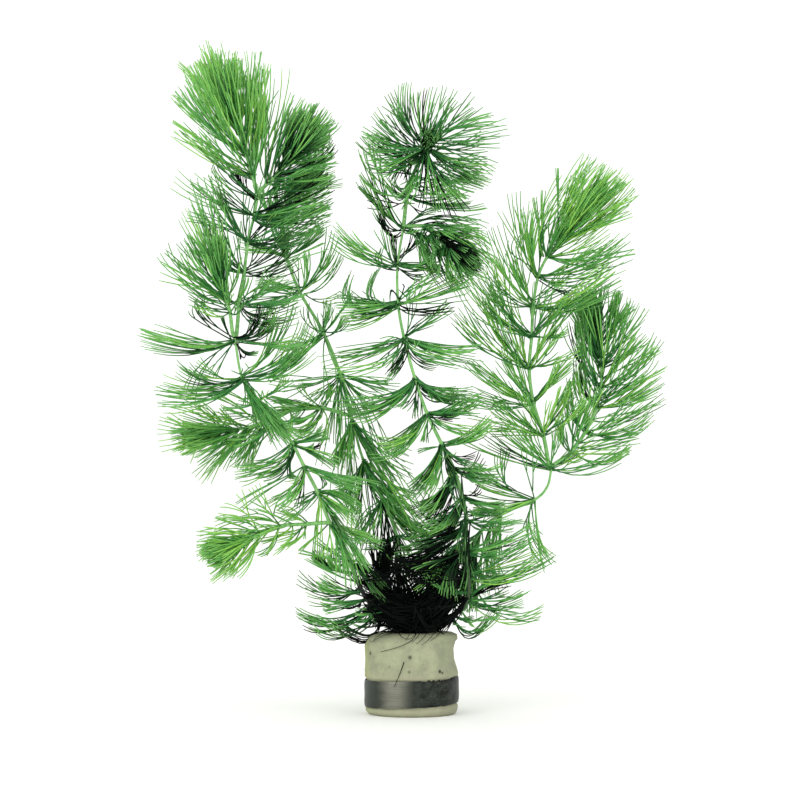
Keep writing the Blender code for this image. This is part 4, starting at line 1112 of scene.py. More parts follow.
def bud_leaves(shoot, frames, places, chance, settings):
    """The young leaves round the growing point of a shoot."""
    if shoot.places[-1].kind != "bud":
        return []
    end = places[-1].at
    along = frames[-1][0]
    leaves = []
    for index in range(len(places) - BUD_RINGS, len(places)):
        place = places[max(index, 0)]
        base_along, side, back = frames[max(index, 0)]
        ahead = (end - place.at).length
        for step in range(BUD_LEAVES):
            angle = 2 * math.pi * (step + chance.random()) / BUD_LEAVES
            radial = side * math.cos(angle) + back * math.sin(angle)
            reach = chance.uniform(0.75, 1.0) * min(BUD_LENGTH, ahead + 3.0)
            out = chance.uniform(*BUD_OUT)
            start = place.at + radial * 0.4
            bow = start + base_along * reach * 0.5 + radial * out * 1.2
            tip = start + base_along * reach + radial * out
            if place.kind == "bud":
                start = end - along * 3.0 + radial * 0.3
                bow = start + along * 2.5 + radial * out * 0.5
                tip = start + along * 5.0 + radial * out * 0.3
            tone = shoot.tone - 0.12 + chance.gauss(0, 0.08)
            shade = 0.9 - 1.1 * shoot.tone + darkness(bow)
            across = base_along.cross(radial)
            leaves.append(
                Leaf(start, bow, tip, across, BUD_FORK, BUD_THICK, tone, shade, SHORT_THREADS)
            )
    return leaves


def thread_paths(leaf, chance, settings):
    """(points, radii, share along the leaf) for each thread of a leaf that forks twice."""
    start, bow, tip = (np.array(point) for point in (leaf.start, leaf.bow, leaf.tip))
    heading = Vector(tip - start).normalized()
    turn = chance.uniform(-0.5, 0.5)
    flat = Quaternion(heading, turn) @ leaf.across
    flat = np.array((flat - heading * flat.dot(heading)).normalized())
    deep = np.cross(np.array(heading), flat)
    first = chance.uniform(*FIRST_FORK)
    wide = leaf.spread
    wave = wide * chance.uniform(-THREAD_WAVE, THREAD_WAVE)
    base = settings.thread / MM / 2 * leaf.thick
    plans = []
    for sign in (1, -1):
        second = chance.uniform(*SECOND_FORK)
        opening = wide * chance.uniform(*FIRST_PARTING)
        fork = wide * chance.uniform(*SECOND_PARTING)
        curl = flat * wide * chance.uniform(-THREAD_CURL, THREAD_CURL)
        lean = chance.uniform(-0.5, 0.5)
        main = (
            (first, flat * sign * opening + deep * lean * opening),
            (CURL_START, curl),
        )
        minor = flat * fork + deep * chance.uniform(-0.6, 0.6) * fork
        begin = 0.0 if sign == 1 else first
        plans.append((begin, (*main, (second, minor)), 1.0))
        if leaf.threads > 2:
            plans.append((second, (*main, (second, -minor)), SECOND_THICK))
    paths = []
    for begin, forks, size in plans[: leaf.threads]:
        rings = settings.rings - (0 if begin == 0 else 2 if begin < 0.37 else 3)
        share = begin + (1 - begin) * np.linspace(0, 1, rings)
        rest = 1 - share
        points = (
            np.outer(rest * rest, start)
            + np.outer(2 * rest * share, bow)
            + np.outer(share * share, tip)
        )
        for at, offset in forks:
            grown = np.clip((share - at) / (1 - at), 0, 1) ** PARTING_CURVE
            points += np.outer(grown, offset)
        points += np.outer(np.sin(share * math.pi * 2) * wave * 0.35, deep)
        radii = base * size * (THREAD_BASE - THREAD_THINNING * share)
        radii[-1] *= THREAD_TIP
        paths.append((points, radii, share))
    return paths


class MeshMaker:
    """Collects tubes for one piece, with what its material reads: along, tone, shade and a map."""

    def __init__(self):
        self.points = []
        self.faces = []
        self.slots = []
        self.along = []
        self.tone = []
        self.shade = []
        self.places = []
        self.count = 0

    def tubes(self, paths, across, sides, rows, tones, shades, slot):
        """Adds tubes that have the same number of rings. paths is a list of (points, radii, share)."""
        if not paths:
            return
        centre = np.array([path[0] for path in paths])
        radii = np.array([path[1] for path in paths])
        share = np.array([path[2] for path in paths])
        number, rings = radii.shape
        heading = np.gradient(centre, axis=1)
        heading /= np.linalg.norm(heading, axis=2, keepdims=True) + 1e-12
        flat = np.array(across)[:, None, :]
        flat = flat - heading * np.sum(flat * heading, axis=2, keepdims=True)
        flat /= np.linalg.norm(flat, axis=2, keepdims=True) + 1e-12
        upper = np.cross(heading, flat)
        angle = np.linspace(0, 2 * math.pi, sides, endpoint=False)
        ring = (
            np.cos(angle)[None, None, :, None] * flat[:, :, None, :]
            + np.sin(angle)[None, None, :, None] * upper[:, :, None, :]
        )
        points = centre[:, :, None, :] + ring * radii[:, :, None, None]
        base = self.count + np.arange(number)[:, None, None] * rings * sides
        row = np.arange(rings - 1)[None, :, None] * sides
        step = np.arange(sides)[None, None, :]
        after = (step + 1) % sides
        quads = np.stack([
            base + row + step, base + row + after,
            base + row + sides + after, base + row + sides + step,
        ], axis=-1).reshape(-1, 4)
        first = np.arange(sides)[::-1][None, :] + base[:, 0, :]
        last = np.arange(sides)[None, :] + base[:, 0, :] + (rings - 1) * sides
        self.points.append(points.reshape(-1, 3))
        low = share[:, :-1, None] + 0 * step
        high = share[:, 1:, None] + 0 * step
        edge = (step + 0.0) / sides + 0 * low
        edge_after = edge + 1.0 / sides
        v_low = rows[:, 0, None, None] + edge * rows[:, 1, None, None]
        v_high = rows[:, 0, None, None] + edge_after * rows[:, 1, None, None]
        map_places = np.stack([
            np.stack([low, v_low], axis=-1), np.stack([low, v_high], axis=-1),
            np.stack([high, v_high], axis=-1), np.stack([high, v_low], axis=-1),
        ], axis=3).reshape(-1, 2)
        self.faces.append((quads, map_places, slot))
        for caps, where in ((first, share[:, 0]), (last, share[:, -1])):
            nudge = np.where(where > 0.5, -0.01, 0.01)
            cap_u = where[:, None] + nudge[:, None] * (np.cos(angle)[None, :] + 1)
            cap_v = rows[:, 0, None] + (0.5 + 0.4 * np.sin(angle)[None, :]) * rows[:, 1, None]
            self.faces.append((caps, np.stack([cap_u, cap_v], axis=-1).reshape(-1, 2), slot))
        self.along.append(np.repeat(share.reshape(-1), sides))
        self.tone.append(np.repeat(tones, rings * sides))
        self.shade.append(np.repeat(shades, number * rings * sides // len(shades)))
        self.count += number * rings * sides

    def finish(self, name, materials):
        """The piece as one mesh object in metres."""
        points = np.concatenate(self.points) * MM
        corners = np.concatenate([face.reshape(-1) for face, _, _ in self.faces])
        sizes = np.concatenate([np.full(len(face), face.shape[1]) for face, _, _ in self.faces])
        starts = np.concatenate([[0], np.cumsum(sizes)[:-1]])
        mesh = bpy.data.meshes.new(name)
        mesh.vertices.add(len(points))
        mesh.vertices.foreach_set("co", points.astype(np.float32).reshape(-1))
        mesh.loops.add(len(corners))
        mesh.loops.foreach_set("vertex_index", corners.astype(np.int32))
        mesh.polygons.add(len(sizes))
        mesh.polygons.foreach_set("loop_start", starts.astype(np.int32))
        slots = np.concatenate([np.full(len(face), slot) for face, _, slot in self.faces])
        mesh.update(calc_edges=True)
        mesh.polygons.foreach_set("material_index", slots.astype(np.int32))
        for key, values in (("along", self.along), ("tone", self.tone), ("shade", self.shade)):
            layer = mesh.attributes.new(key, "FLOAT", "POINT")
            layer.data.foreach_set("value", np.concatenate(values).astype(np.float32))
        places = mesh.uv_layers.new(name="OFBake")
        flat = np.concatenate([where for _, where, _ in self.faces])
        places.data.foreach_set("uv", flat.astype(np.float32).reshape(-1))
        for material in materials:
            mesh.materials.append(material)
        mesh.shade_smooth()
        mesh.validate()
        piece = bpy.data.objects.new(name, mesh)
        bpy.context.scene.collection.objects.link(piece)
        return piece


def add_leaves(maker, leaves, chance, settings):
    """Turns the leaves into thread tubes, grouped by how many rings they have."""
    groups = {}
    height = (1 - STEM_ROWS) / (TONES * len(SHADES))
    for leaf in leaves:
        shade = rounded_shade(leaf.shade)
        for path in thread_paths(leaf, chance, settings):
            tone = rounded_tone(leaf.tone + chance.gauss(0, THREAD_TONE_SPREAD))
            row = (tone * len(SHADES) + shade) * height
            entry = (path, tuple(leaf.across), (row, height * 0.9), tone / (TONES - 1), SHADES[shade])
            groups.setdefault(len(path[1]), []).append(entry)
    for entries in groups.values():
        paths, across, rows, tones, shades = zip(*entries)
        maker.tubes(
            list(paths), across, settings.sides, np.array(rows), np.array(tones), np.array(shades), 0
        )


def add_strays(maker, shoot):
    """The loose dark threads that lie over the foam."""
    paths = []
    for stray in STRAYS:
        line = []
        for across, down in stray:
            flat = front_place(across, down, 0.0)
            radius = plug_outside(min(flat.z, PLUG_HEIGHT - 1.0), 1.5 * math.pi) + STRAY_CLEAR
            if flat.z < GROOVE_ABOVE:
                radius = STRIP_INSIDE + STRIP_THICKNESS + STRAY_CLEAR
            deep = -math.sqrt(max(0.0, radius ** 2 - flat.x ** 2))
            line.append(front_place(across, down, deep))
        share = np.linspace(0, 1, 13)
        points = []
        for value in share:
            at = value * (len(line) - 1)
            index = min(int(at), len(line) - 2)
            points.append(smooth_point(line, index, at - index))
        paths.append((np.array(points), STRAY_WIDTH / 2 * (1.0 - 0.5 * share), share))
    height = (1 - STEM_ROWS) / (TONES * len(SHADES))
    count = len(paths)
    tone = rounded_tone(shoot.tone)
    rows = np.array([((tone * len(SHADES) + len(SHADES) - 1) * height, height * 0.9)] * count)
    across = [(1.0, 0.0, 0.0)] * count
    maker.tubes(paths, across, 4, rows, np.full(count, tone / (TONES - 1)), np.full(count, SHADES[-1]), 0)


def add_stem(maker, shoot, settings):
    """The stem as a smooth tube that swells a little at each whorl."""
    points = [place.at for place in shoot.places]
    places = list(shoot.places)
    if shoot.root is not None:
        points.insert(0, seen_at(*shoot.root))
        places.insert(0, bend(*shoot.root))
    line = []
    swell = []
    for index in range(len(points) - 1):
        steps = max(2, round((points[index + 1] - points[index]).length / settings.stem_step * MM))
        for step in range(steps):
            share = step / steps
            line.append(smooth_point(points, index, share))
            near = min(
                share * steps if places[index].kind in ("whorl", "rosette") else 9,
                (1 - share) * steps if places[index + 1].kind in ("whorl", "rosette") else 9,
            )
            swell.append(math.exp(-near * near))
    line.append(points[-1])
    swell.append(0.0)
    share = np.linspace(0, 1, len(line))
    radii = shoot.radius + (TIP_RADIUS - shoot.radius) * share
    radii = radii * (1 + 0.22 * np.array(swell))
    path = (np.array(line), radii, share)
    across = [tuple(stem_frames(line)[0][1])]
    rows = np.array([[1 - STEM_ROWS, STEM_ROWS]])
    # The painted shade along the stem, from the dark spots
    shade = np.repeat([darkness(point) for point in line], 10)
    maker.tubes([path], across, 10, rows, np.array([shoot.tone]), shade, 1)


# Materials


class Nodes:
    """Builds a material's node tree by short calls."""

    def __init__(self, name):
        self.material = bpy.data.materials.new(name)
        self.material.use_nodes = True
        self.tree = self.material.node_tree
        self.shader = self.tree.nodes["Principled BSDF"]

    def add(self, kind, inputs=None, **settings):
        node = self.tree.nodes.new(kind)
        for key, value in settings.items():
            setattr(node, key, value)
        for key, value in (inputs or {}).items():
            self.put(node.inputs[key], value)
        return node

    def put(self, socket, value):
        if isinstance(value, bpy.types.NodeSocket):
            self.tree.links.new(value, socket)
        else:
            socket.default_value = value

    def attribute(self, name):
        return self.add("ShaderNodeAttribute", attribute_name=name).outputs["Fac"]

    def maths(self, operation, *values):
        node = self.add("ShaderNodeMath", operation=operation)
        for index, value in enumerate(values):
            self.put(node.inputs[index], value)
        return node.outputs[0]

    def smooth(self, value, low, high):
        """0 below low, 1 above high and smooth between them."""
        node = self.add("ShaderNodeMapRange", interpolation_type="SMOOTHSTEP")
        for key, given in (("Value", value), ("From Min", low), ("From Max", high)):
            self.put(node.inputs[key], given)
        return node.outputs["Result"]

    def ramp(self, value, stops):
        node = self.add("ShaderNodeValToRGB", {"Fac": value})
        band = node.color_ramp
        stops = list(stops)
        while len(band.elements) < len(stops):
            band.elements.new(0.5)
        for element, (at, colour) in zip(band.elements, stops):
            element.position = at
            element.color = (*colour, 1.0)
        return node.outputs["Color"]

    def mix(self, share, one, two):
        node = self.add("ShaderNodeMix", data_type="RGBA")
        self.put(node.inputs["Factor"], share)
        self.put(node.inputs["A"], one if isinstance(one, bpy.types.NodeSocket) else (*one, 1.0))
        self.put(node.inputs["B"], two if isinstance(two, bpy.types.NodeSocket) else (*two, 1.0))
        return node.outputs["Result"]

    def noise(self, vector, scale, detail=2.0, roughness=0.5):
        node = self.add("ShaderNodeTexNoise", {
            "Scale": scale, "Detail": detail, "Roughness": roughness,
        })
        if vector is not None:
            self.put(node.inputs["Vector"], vector)
        return node.outputs["Fac"]

    def object_place(self):
        return self.add("ShaderNodeTexCoord").outputs["Object"]


def leaf_material(settings):
    """Green threads with painted shade, near black towards the stem where the bunch is dense, paler at
    their ends.
    """
    nodes = Nodes("leaf_green")
    along = nodes.attribute("along")
    tone = nodes.attribute("tone")
    shade = nodes.attribute("shade")
    where = nodes.add("ShaderNodeCombineXYZ", {
        "X": nodes.maths("MULTIPLY", along, 9.0), "Y": nodes.maths("MULTIPLY", tone, 17.0),
    }).outputs["Vector"]
    mottle = nodes.noise(where, 1.6, 3.0)
    shifted = nodes.maths("ADD", tone, nodes.maths("MULTIPLY_ADD", mottle, 0.3, -0.15))
    tones = (settings.deep, settings.mid, settings.bright, settings.young)
    green = nodes.ramp(shifted, zip(TONE_PLACES, tones))
    paler = nodes.maths("MULTIPLY", nodes.smooth(along, 0.35, 1.0), 0.42)
    green = nodes.mix(paler, green, settings.tip)
    # Painted shade: each thread is drawn dark from its base as far along as its shade reaches, near black
    # where the shade is deepest
    low = nodes.maths("SUBTRACT", shade, 0.24)
    high = nodes.maths("ADD", shade, 0.26)
    lit = nodes.smooth(along, low, high)
    dark = nodes.mix(nodes.smooth(shade, 0.45, 1.0), settings.shaded, settings.black)
    colour = nodes.mix(lit, dark, green)
    nodes.put(nodes.shader.inputs["Base Color"], colour)
    nodes.put(nodes.shader.inputs["Roughness"], nodes.smooth(mottle, -0.5, 1.3))
    nodes.shader.inputs["Specular IOR Level"].default_value = 0.08
    return nodes.material


def stem_material(settings):
    """Pale green stems with faint streaks, and painted shade that turns them near black where the bunch is
    dense.
    """
    nodes = Nodes("stem_green")
    along = nodes.attribute("along")
    tone = nodes.attribute("tone")
    where = nodes.add("ShaderNodeCombineXYZ", {
        "X": nodes.maths("MULTIPLY", along, 40.0), "Y": nodes.maths("MULTIPLY", tone, 11.0),
    }).outputs["Vector"]
    mottle = nodes.noise(where, 1.0, 3.0)
    colour = nodes.mix(nodes.smooth(mottle, 0.3, 0.75), settings.stem, settings.stem_streaks)
    # Painted shade: the stem turns near black where the bunch is densest
    colour = nodes.mix(nodes.smooth(nodes.attribute("shade"), 0.1, 0.9), colour, settings.black)
    nodes.put(nodes.shader.inputs["Base Color"], colour)
    nodes.put(nodes.shader.inputs["Roughness"], nodes.smooth(mottle, -0.6, 1.4))
    return nodes.material


# Where the four leaf greens lie between tone 0 and tone 1
TONE_PLACES = (0.0, 0.35, 0.62, 1.0)


# Foot: the foam plug and the strip round it

PLUG_RADIUS = 17.3
PLUG_HEIGHT = 30.3
GROOVE_ABOVE = 13.4
POCKET_MOUTH_RADIUS = 10.0
POCKET_RADIUS = 5.5
POCKET_FLARE_START = 20.0
STRIP_INSIDE = 16.7
STRIP_THICKNESS = 0.8
STRIP_START = math.radians(74)
STRIP_OVERLAP = math.radians(32)
STRIP_LIFT_TURN = math.radians(18)
# Edges sharper than this stay sharp, in degrees
PLUG_SHARP = 60
STRIP_SHARP = 50

# (height, radius) of the plug's outline on its left and on its right, from under the strip upwards
PLUG_LEFT = (
    (0.0, 15.4), (0.5, 16.4), (1.3, 17.0), (2.2, 17.0), (2.9, 16.5), (13.0, 16.5), (14.0, 17.2),
    (20.0, 17.3), (25.0, 17.3), (27.0, 16.8), (28.6, 15.6), (29.7, 13.8), (30.2, 11.9), (30.3, 10.0),
)
PLUG_RIGHT = (
    (0.0, 15.4), (0.5, 16.4), (1.8, 17.0), (3.4, 17.0), (4.4, 16.5), (13.6, 16.5), (14.6, 17.3),
    (16.5, 16.9), (20.0, 15.9), (24.0, 15.6), (26.6, 16.0), (27.8, 16.9), (29.3, 16.8), (30.1, 15.2),
    (30.3, 10.0),
)
# Marks on the plug's front, as (across, up, spread, strength)
PLUG_SPECKS = (
    (-15.3, 22.3, 0.42, 0.8),
    (-0.6, 20.7, 0.50, 0.8),
    (10.5, 15.5, 0.46, 1.0),
    (11.4, 15.0, 0.36, 0.8),
    (-0.9, 15.3, 0.40, 0.6),
    (6.9, 24.4, 0.35, 0.5),
    (-8.2, 17.3, 0.30, 0.4),
)


def table_value(table, at):
    """The value that a table of (place, value) gives, rounded between its rows."""
    places = [row[0] for row in table]
    values = [row[1] for row in table]
    return float(np.interp(at, places, values))


def plug_outside(height, angle):
    rightness = max(0.0, math.cos(angle)) ** 1.5
    left = table_value(PLUG_LEFT, height)
    right = table_value(PLUG_RIGHT, height)
    return left * (1 - rightness) + right * rightness


def crease_side(x, z):
    """Above 0 over the fold that crosses the plug's front, below 0 under it, in millimetres."""
    return z - (20.6 - 0.030 * (x - 3.0) ** 2)


def plug_relief(point):
    """How far the foam's surface stands out at a point, in millimetres."""
    place = point * 0.16
    soft = noise.fractal(place, 1.0, 2.0, 3, noise_basis="PERLIN_ORIGINAL")
    pores = noise.noise(point * 1.5) * 0.5 + noise.noise(point * 3.1) * 0.3
    fold = 0.0
    if point.y < 0 and -2.5 < point.x < 14.5:
        over = crease_side(point.x, point.z)
        fade = min(1.0, (point.x + 2.5) / 3.0, (14.5 - point.x) / 2.0)
        fold = 0.45 * fade * (0.5 - 0.5 * math.tanh(over * 4.0)) * math.exp(-max(0.0, -over) / 2.0)
    return soft * 0.28 + pores * 0.10 + fold


def make_plug(settings):
    """The foam plug's body with its pocket, as one closed mesh."""
    around = settings.around
    heights = list(np.linspace(0.0, 26.0, 66)) + list(np.linspace(26.3, 30.3, 18))
    rings = [("outside", height) for height in heights]
    rings += [("top", share) for share in (0.25, 0.55, 0.8, 1.0)]
    rings += [("pocket", height) for height in (27.0, 23.5, 20.0, 14.0, 8.0)]
    points = []
    for kind, value in rings:
        for step in range(around):
            angle = 2 * math.pi * step / around
            if kind == "outside":
                radius, height = plug_outside(value, angle), value
            elif kind == "top":
                radius = plug_outside(PLUG_HEIGHT, angle) + value * (POCKET_MOUTH_RADIUS - 10.0)
                radius, height = radius - value * 1.2, PLUG_HEIGHT - 0.3 * value
            else:
                share = (PLUG_HEIGHT - value) / (PLUG_HEIGHT - POCKET_FLARE_START)
                flare = 8.8 + (POCKET_RADIUS - 8.8) * min(1.0, share)
                radius, height = flare, value
            point = Vector((radius * math.cos(angle), radius * math.sin(angle), height))
            outward = Vector((math.cos(angle), math.sin(angle), 0.0))
            if kind == "outside" and value > 0.0:
                point += outward * plug_relief(point)
            elif kind == "top":
                point.z += plug_relief(point) * 0.8
            points.append(tuple(point))
    faces = []
    for row in range(len(rings) - 1):
        for step in range(around):
            after = (step + 1) % around
            base = row * around
            faces.append((base + step, base + after, base + around + after, base + around + step))
    last = (len(rings) - 1) * around
    faces.append(tuple(range(around))[::-1])
    faces.append(tuple(last + step for step in range(around)))
    return points, faces


def strip_edges(angle):
    """(lowest, highest) height of the strip's edges at a place round the plug."""
    x = math.cos(angle)
    front = max(0.0, -math.sin(angle))
    low = 3.55 + 0.95 * max(0.0, x) ** 2 - 0.75 * max(0.0, -x)
    high = 13.3 + 0.55 * x
    where = Vector((x * 9.0, math.sin(angle) * 9.0, 3.0))
    low += noise.noise(where * 0.9) * 0.16
    torn = front ** 0.5 * max(0.0, min(1.0, (x - 0.12) * 6.0))
    jag = noise.fractal(where * 3.6, 0.8, 2.1, 4, noise_basis="PERLIN_ORIGINAL")
    high += noise.noise(where * 0.7) * 0.10 + torn * (jag * 0.75 - 0.25)
    high += torn * 1.1 * max(0.0, (x - 0.7) / 0.3)
    return low, high


def make_strip(settings):
    """The metal strip: a thin band with a torn edge, wound once round with its end lapped over."""
    around = settings.around * 2
    across = 14
    sweep = 2 * math.pi + STRIP_OVERLAP
    lift = STRIP_THICKNESS + 0.3
    points = []
    for step in range(around + 1):
        turn = sweep * step / around
        angle = STRIP_START + turn
        rise = min(1.0, max(0.0, (turn - 2 * math.pi) / STRIP_LIFT_TURN + 1.0))
        inner = STRIP_INSIDE + lift * rise * rise * (3 - 2 * rise)
        low, high = strip_edges(angle)
        for side in (0, 1):
            for row in range(across + 1):
                share = row / across if side == 0 else 1 - row / across
                height = low + (high - low) * share
                place = Vector((math.cos(angle) * 17, math.sin(angle) * 17, height))
                dent = noise.fractal(place * 0.22, 1.0, 2.0, 2, noise_basis="PERLIN_ORIGINAL") * 0.13
                pinch = 0.25 * (abs(2 * share - 1) ** 8)
                radius = inner + dent + (STRIP_THICKNESS - pinch if side == 0 else pinch)
                points.append((radius * math.cos(angle), radius * math.sin(angle), height))
    ring = 2 * (across + 1)
    faces = []
    for step in range(around):
        for row in range(ring):
            after = (row + 1) % ring
            base = step * ring
            faces.append((base + row, base + ring + row, base + ring + after, base + after))
    faces.append(tuple(range(ring)))
    faces.append(tuple(around * ring + row for row in range(ring))[::-1])
    return points, faces


def foam_material(settings):
    """Dull grey-green foam with fine pores, warmer patches low down, a few dark specks and painted shade
    over its right side.
    """
    nodes = Nodes("foam")
    place = nodes.object_place()
    split = nodes.add("ShaderNodeSeparateXYZ", {"Vector": place})
    across, up = split.outputs["X"], split.outputs["Z"]
    broad = nodes.noise(place, 190.0, 5.0, 0.65)
    fine = nodes.noise(place, 900.0, 3.0, 0.6)
    colour = nodes.mix(nodes.smooth(broad, 0.35, 0.7), settings.foam, settings.foam_grey)
    warm = nodes.maths("MULTIPLY", nodes.smooth(up, 0.019, 0.013), nodes.smooth(broad, 0.38, 0.55))
    colour = nodes.mix(nodes.maths("MULTIPLY", warm, 0.55), colour, settings.foam_warm)
    rim = nodes.smooth(across, -0.0145, -0.0172)
    colour = nodes.mix(nodes.maths("MULTIPLY", rim, 0.5), colour, settings.foam_rim)
    # Painted shade: the plug's right side is drawn darker
    painted_right_shade = nodes.smooth(across, 0.006, 0.0165)
    colour = nodes.mix(nodes.maths("MULTIPLY", painted_right_shade, 0.42), colour, settings.foam_shade_and_pores)
    stained = nodes.maths("MULTIPLY", nodes.smooth(up, 0.0275, 0.0305), nodes.smooth(broad, 0.2, 0.6))
    colour = nodes.mix(nodes.maths("MULTIPLY", stained, 0.5), colour, FOAM_STAIN)
    pores = nodes.maths("MULTIPLY", nodes.smooth(fine, 0.52, 0.72), 0.3)
    colour = nodes.mix(pores, colour, settings.foam_shade_and_pores)
    for x, z, spread, strength in PLUG_SPECKS:
        y = -math.sqrt(max(0.0, PLUG_RADIUS ** 2 - x * x))
        gap = nodes.add("ShaderNodeVectorMath", {0: place}, operation="DISTANCE")
        gap.inputs[1].default_value = seen_at(x, y, z) * MM
        near = nodes.smooth(gap.outputs["Value"], spread * 2.2 * MM, spread * 0.5 * MM)
        colour = nodes.mix(nodes.maths("MULTIPLY", near, strength), colour, FOAM_SPECK)
    nodes.put(nodes.shader.inputs["Base Color"], colour)
    nodes.shader.inputs["Roughness"].default_value = 0.95
    nodes.shader.inputs["Specular IOR Level"].default_value = 0.15
    bump = nodes.add("ShaderNodeBump", {"Height": fine, "Strength": 0.5, "Distance": 0.0003})
    nodes.put(nodes.shader.inputs["Normal"], bump.outputs["Normal"])
    return nodes.material


def metal_material(settings):
    """Dark soft metal, brushed round its length, with a painted highlight at the front and a painted sheen
    over its left half.
    """
    nodes = Nodes("soft_metal")
    place = nodes.object_place()
    split = nodes.add("ShaderNodeSeparateXYZ", {"Vector": place})
    across, up = split.outputs["X"], split.outputs["Z"]
    streaks = nodes.add("ShaderNodeVectorMath", {0: place, 1: (60.0, 60.0, 2600.0)}, operation="MULTIPLY")
    brushed = nodes.noise(streaks.outputs["Vector"], 1.0, 4.0, 0.6)
    blotch = nodes.noise(place, 420.0, 4.0, 0.65)
    ragged = nodes.maths("MULTIPLY_ADD", nodes.maths("SUBTRACT", blotch, 0.5), 0.0030, across)
    # Painted highlight: a soft lighter band left of the front, where the lamp's reflection falls, with
    # ragged sides
    painted_highlight = nodes.maths(
        "MULTIPLY", nodes.smooth(ragged, -0.0135, -0.0070), nodes.smooth(ragged, 0.0012, -0.0062)
    )
    left = nodes.smooth(ragged, -0.010, -0.014)
    colour = nodes.mix(nodes.smooth(blotch, 0.35, 0.65), settings.metal, settings.metal_grey)
    colour = nodes.mix(nodes.maths("MULTIPLY", left, 0.6), colour, METAL_LEFT)
    # Painted sheen: the strip's left half is drawn lighter, where the light falls on it
    painted_sheen = nodes.maths("MULTIPLY", nodes.smooth(across, 0.008, -0.001), 0.35)
    colour = nodes.mix(painted_sheen, colour, settings.metal_lines_and_sheen)
    colour = nodes.mix(nodes.maths("MULTIPLY", painted_highlight, 0.85), colour, settings.metal_highlight_and_specks)
    lines = nodes.maths("MULTIPLY", nodes.smooth(brushed, 0.42, 0.62), 0.30)
    colour = nodes.mix(lines, colour, settings.metal_lines_and_sheen)
    speckle = nodes.smooth(nodes.noise(place, 1500.0, 2.0, 0.5), 0.66, 0.74)
    colour = nodes.mix(nodes.maths("MULTIPLY", speckle, 0.35), colour, settings.metal_highlight_and_specks)
    edge = nodes.maths("MULTIPLY", nodes.smooth(up, 0.0126, 0.0136), nodes.smooth(across, 0.001, 0.004))
    colour = nodes.mix(edge, colour, METAL_EDGE)
    nodes.put(nodes.shader.inputs["Base Color"], colour)
    nodes.shader.inputs["Metallic"].default_value = 0.85
    nodes.put(nodes.shader.inputs["Roughness"], nodes.maths("MULTIPLY_ADD", brushed, 0.35, 0.30))
    bump = nodes.add("ShaderNodeBump", {"Height": brushed, "Strength": 0.25, "Distance": 0.0001})
    nodes.put(nodes.shader.inputs["Normal"], bump.outputs["Normal"])
    return nodes.material


FOAM_STAIN = (0.30, 0.33, 0.20)
FOAM_SPECK = (0.03, 0.035, 0.025)
METAL_LEFT = (0.038, 0.046, 0.040)
METAL_EDGE = (0.008, 0.009, 0.008)


# Stage: the floor, the lights and the camera

FLOOR_RADIUS = 40000.0
FLOOR_SIDES = 64
FLOOR_LIFT = 0.02
CAMERA_SENSOR = 36.0
KEY_PLACE = (-0.7, -1.1, 0.95)
KEY_SIZE = 0.9
FILL_PLACE = (0.9, -0.9, 0.5)
FILL_SIZE = 1.0
FILL_SHARE = 0.35
LAMP_AIM = Vector((0.0, 0.0, 0.11))


def add_area(name, at, size, power):
    """A square lamp that points at the middle of the bunch."""
    lamp = bpy.data.lights.new(name, "AREA")
    lamp.size = size
    lamp.energy = power
    holder = bpy.data.objects.new(name, lamp)
    bpy.context.scene.collection.objects.link(holder)
    holder.location = at
    aim = LAMP_AIM - Vector(at)
    holder.rotation_euler = aim.to_track_quat("-Z", "Y").to_euler()
    return holder


def make_floor(settings):
    """A pale floor that reaches to the horizon, with a very faint grain."""
    points = []
    for step in range(FLOOR_SIDES):
        turn = 2 * math.pi * step / FLOOR_SIDES
        points.append((FLOOR_RADIUS * math.cos(turn), FLOOR_RADIUS * math.sin(turn), 0.0))
    faces = [tuple(range(FLOOR_SIDES))]
    nodes = Nodes("pale_floor")
    grain = nodes.noise(nodes.object_place(), 3.0)
    paler = [min(1.0, value + FLOOR_LIFT) for value in settings.floor]
    nodes.put(nodes.shader.inputs["Base Color"], nodes.mix(grain, settings.floor, paler))
    nodes.shader.inputs["Roughness"].default_value = 0.9
    return new_piece("floor", points, faces, nodes.material, 80)


# Settings, steps and panel


